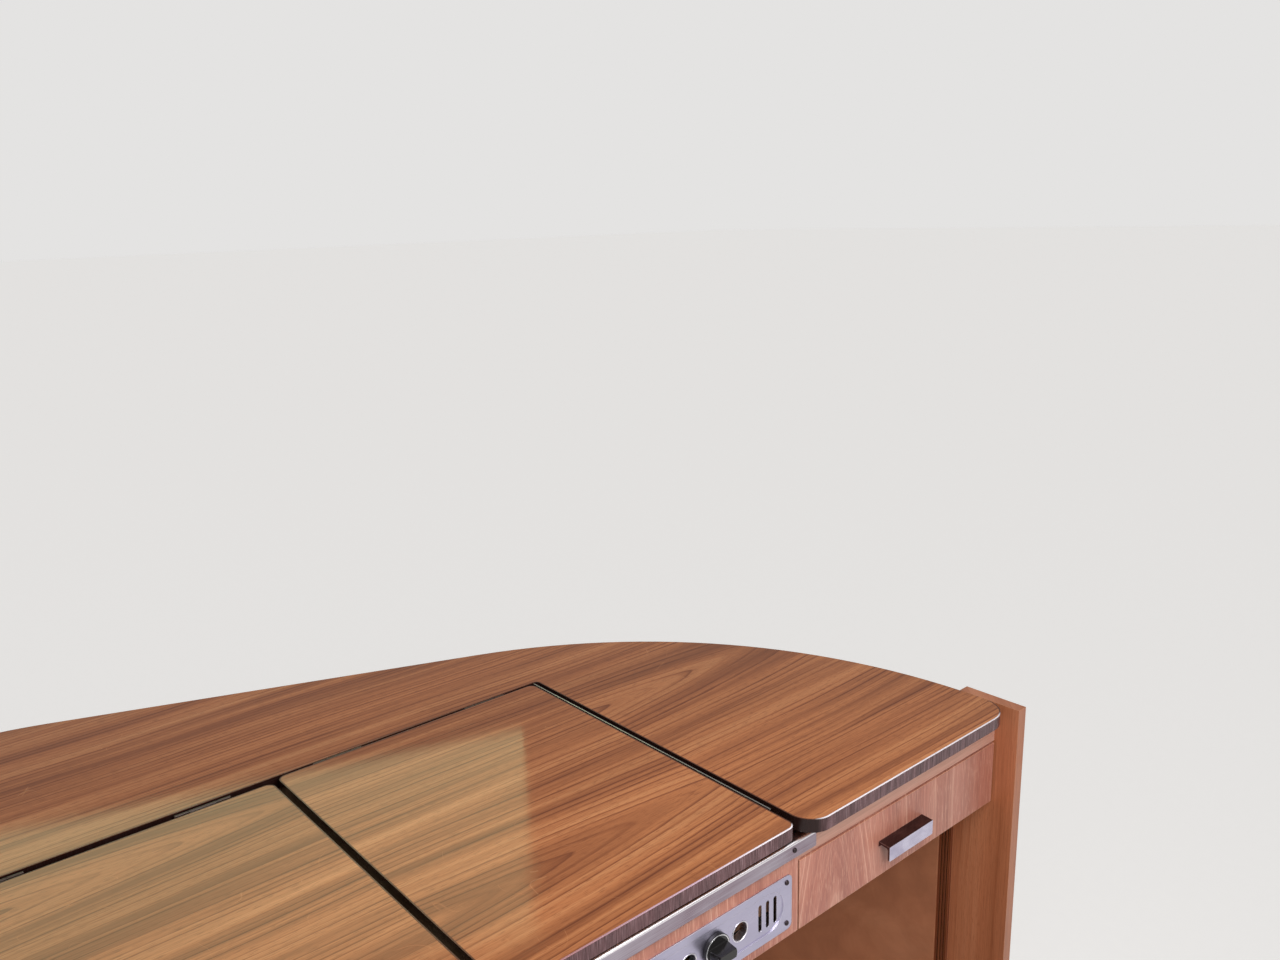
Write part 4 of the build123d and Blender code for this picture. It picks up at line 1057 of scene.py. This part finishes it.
# Doors: two boards faced like the fascia, with their grain upright. They hang on plated hinges at
# the end panel and the partition.
door_foil = wood_finish(
    "reddish door foil",
    "z",
    tones=front_tones,
    figure={**front_rings, "Heart": -0.15, "Start": 0.3, "Depth": 0.012, "Lean": 0.12},
    shine=foil_shine,
    seed=7.7,
    pale_edge=front_edge,
)
dress(door_foil, "door_left", "door_right")
dress(plated, "door_left_hinges", "door_right_hinges", "door_hinges_fixed")

# The floor it stands on, and the light: a pale floor, a plain pale world, soft light from the front
# and both sides, and a wide lamp behind the counter that shows only in the polished tops.
floor_half = 60.0
floor_glow = 0.45
room_white = (0.97, 0.96, 0.95, 1.0)


def mirrored_rays(tree):
    """The Light Path outputs, and the rays that come back from metal or through glass."""
    rays = put(tree, "LightPath").outputs
    return rays, maths(tree, "MAXIMUM", rays["Is Glossy Ray"], rays["Is Transmission Ray"])


shell = bmesh.new()
bmesh.ops.create_grid(shell, x_segments=1, y_segments=1, size=floor_half)
floor_mesh = bpy.data.meshes.new("floor")
shell.to_mesh(floor_mesh)
shell.free()
floor = bpy.data.objects.new("floor", floor_mesh)
bpy.context.scene.collection.objects.link(floor)
floor_finish, tree, shader = new_finish("pale floor", Roughness=0.9, Specular_IOR_Level=0.0)
floor_grain = noise(tree, object_spot(tree), detail=3.0, scale=40.0)
colour = blend_colours(tree, floor_grain, (0.66, 0.65, 0.64, 1.0), (0.70, 0.69, 0.68, 1.0))
rays, mirrored = mirrored_rays(tree)
seen = maths(tree, "MAXIMUM", rays["Is Camera Ray"], mirrored)
seen_glow = maths(tree, "MULTIPLY", seen, floor_glow)
wire_up(tree, shader, Base_Color=colour, Emission_Color=room_white, Emission_Strength=seen_glow)
floor_mesh.materials.append(floor_finish)

world_strength = 0.34
mirrored_strength = 0.40
seen_strength = 0.80
world = bpy.data.worlds.new("room")
bpy.context.scene.world = world
world.use_nodes = True
tree = world.node_tree
background = next(n for n in tree.nodes if n.type == "BACKGROUND")
rays, mirrored = mirrored_rays(tree)
strength = rescaled(tree, mirrored, low=world_strength, high=mirrored_strength)
strength = rescaled(tree, rays["Is Camera Ray"], low=strength, high=seen_strength)
fill(tree, background, {"Color": room_white, "Strength": strength})


def add_lamp(name, kind, turn, place=(0.0, 0.0, 0.0), **values):
    """A lamp of a kind, turned and placed in the room, with its own values."""
    light = bpy.data.lights.new(name, kind)
    for key, value in values.items():
        setattr(light, key, value)
    lamp = bpy.data.objects.new(name, light)
    lamp.location = place
    lamp.rotation_euler = turn
    bpy.context.scene.collection.objects.link(lamp)
    return lamp


def shining_from(x, y, z):
    """The turn of a lamp whose light comes from this direction."""
    return Vector((x, y, z)).to_track_quat("Z", "Y").to_euler()


warm_white = (1.0, 0.98, 0.95)
add_lamp(
    "sky light",
    "SUN",
    shining_from(1.0, -1.3, 1.9),
    energy=0.40,
    angle=math.radians(35),
    color=(1.0, 0.98, 0.96),
)
add_lamp(
    "fill light",
    "SUN",
    shining_from(-1.2, -1.3, 0.6),
    energy=0.55,
    angle=math.radians(60),
    color=warm_white,
)
back_lamp = add_lamp(
    "back light",
    "AREA",
    (math.radians(-90), 0, math.radians(-19.6)),
    place=(-0.20, 0.34, 1.185),
    shape="RECTANGLE",
    size=0.96,
    size_y=0.35,
    energy=1.9,
    color=(0.80, 1.0, 0.54),
)
back_lamp.visible_camera = False
back_lamp.visible_diffuse = False
soft_box = add_lamp(
    "soft box",
    "AREA",
    shining_from(0.0, -0.70, 0.60),
    place=(0.0, -0.98, 1.48),
    size=0.6,
    energy=7.5,
    color=warm_white,
)
soft_box.visible_camera = False

# Camera: at eye height in front of the left lid, looking over the lids to the right-hand corner.
# It leans a little to one side, as it was held in the hand.
eye = Vector((-0.549, -1.0455, 1.490))
turn_right = math.radians(40.43)
look_down = math.radians(14.07)
lean = math.radians(1.60)
camera_data = bpy.data.cameras.new("camera")
camera_data.sensor_width = 36.0
camera_data.lens = 30.05
camera = bpy.data.objects.new("camera", camera_data)
bpy.context.scene.collection.objects.link(camera)
heading = Matrix.Rotation(-turn_right, 4, "Z")
tilt = Matrix.Rotation(math.radians(90) - look_down, 4, "X")
camera.matrix_world = Matrix.Translation(eye) @ heading @ tilt @ Matrix.Rotation(-lean, 4, "Z")
bpy.context.scene.camera = camera
bpy.context.scene.view_settings.view_transform = "Standard"
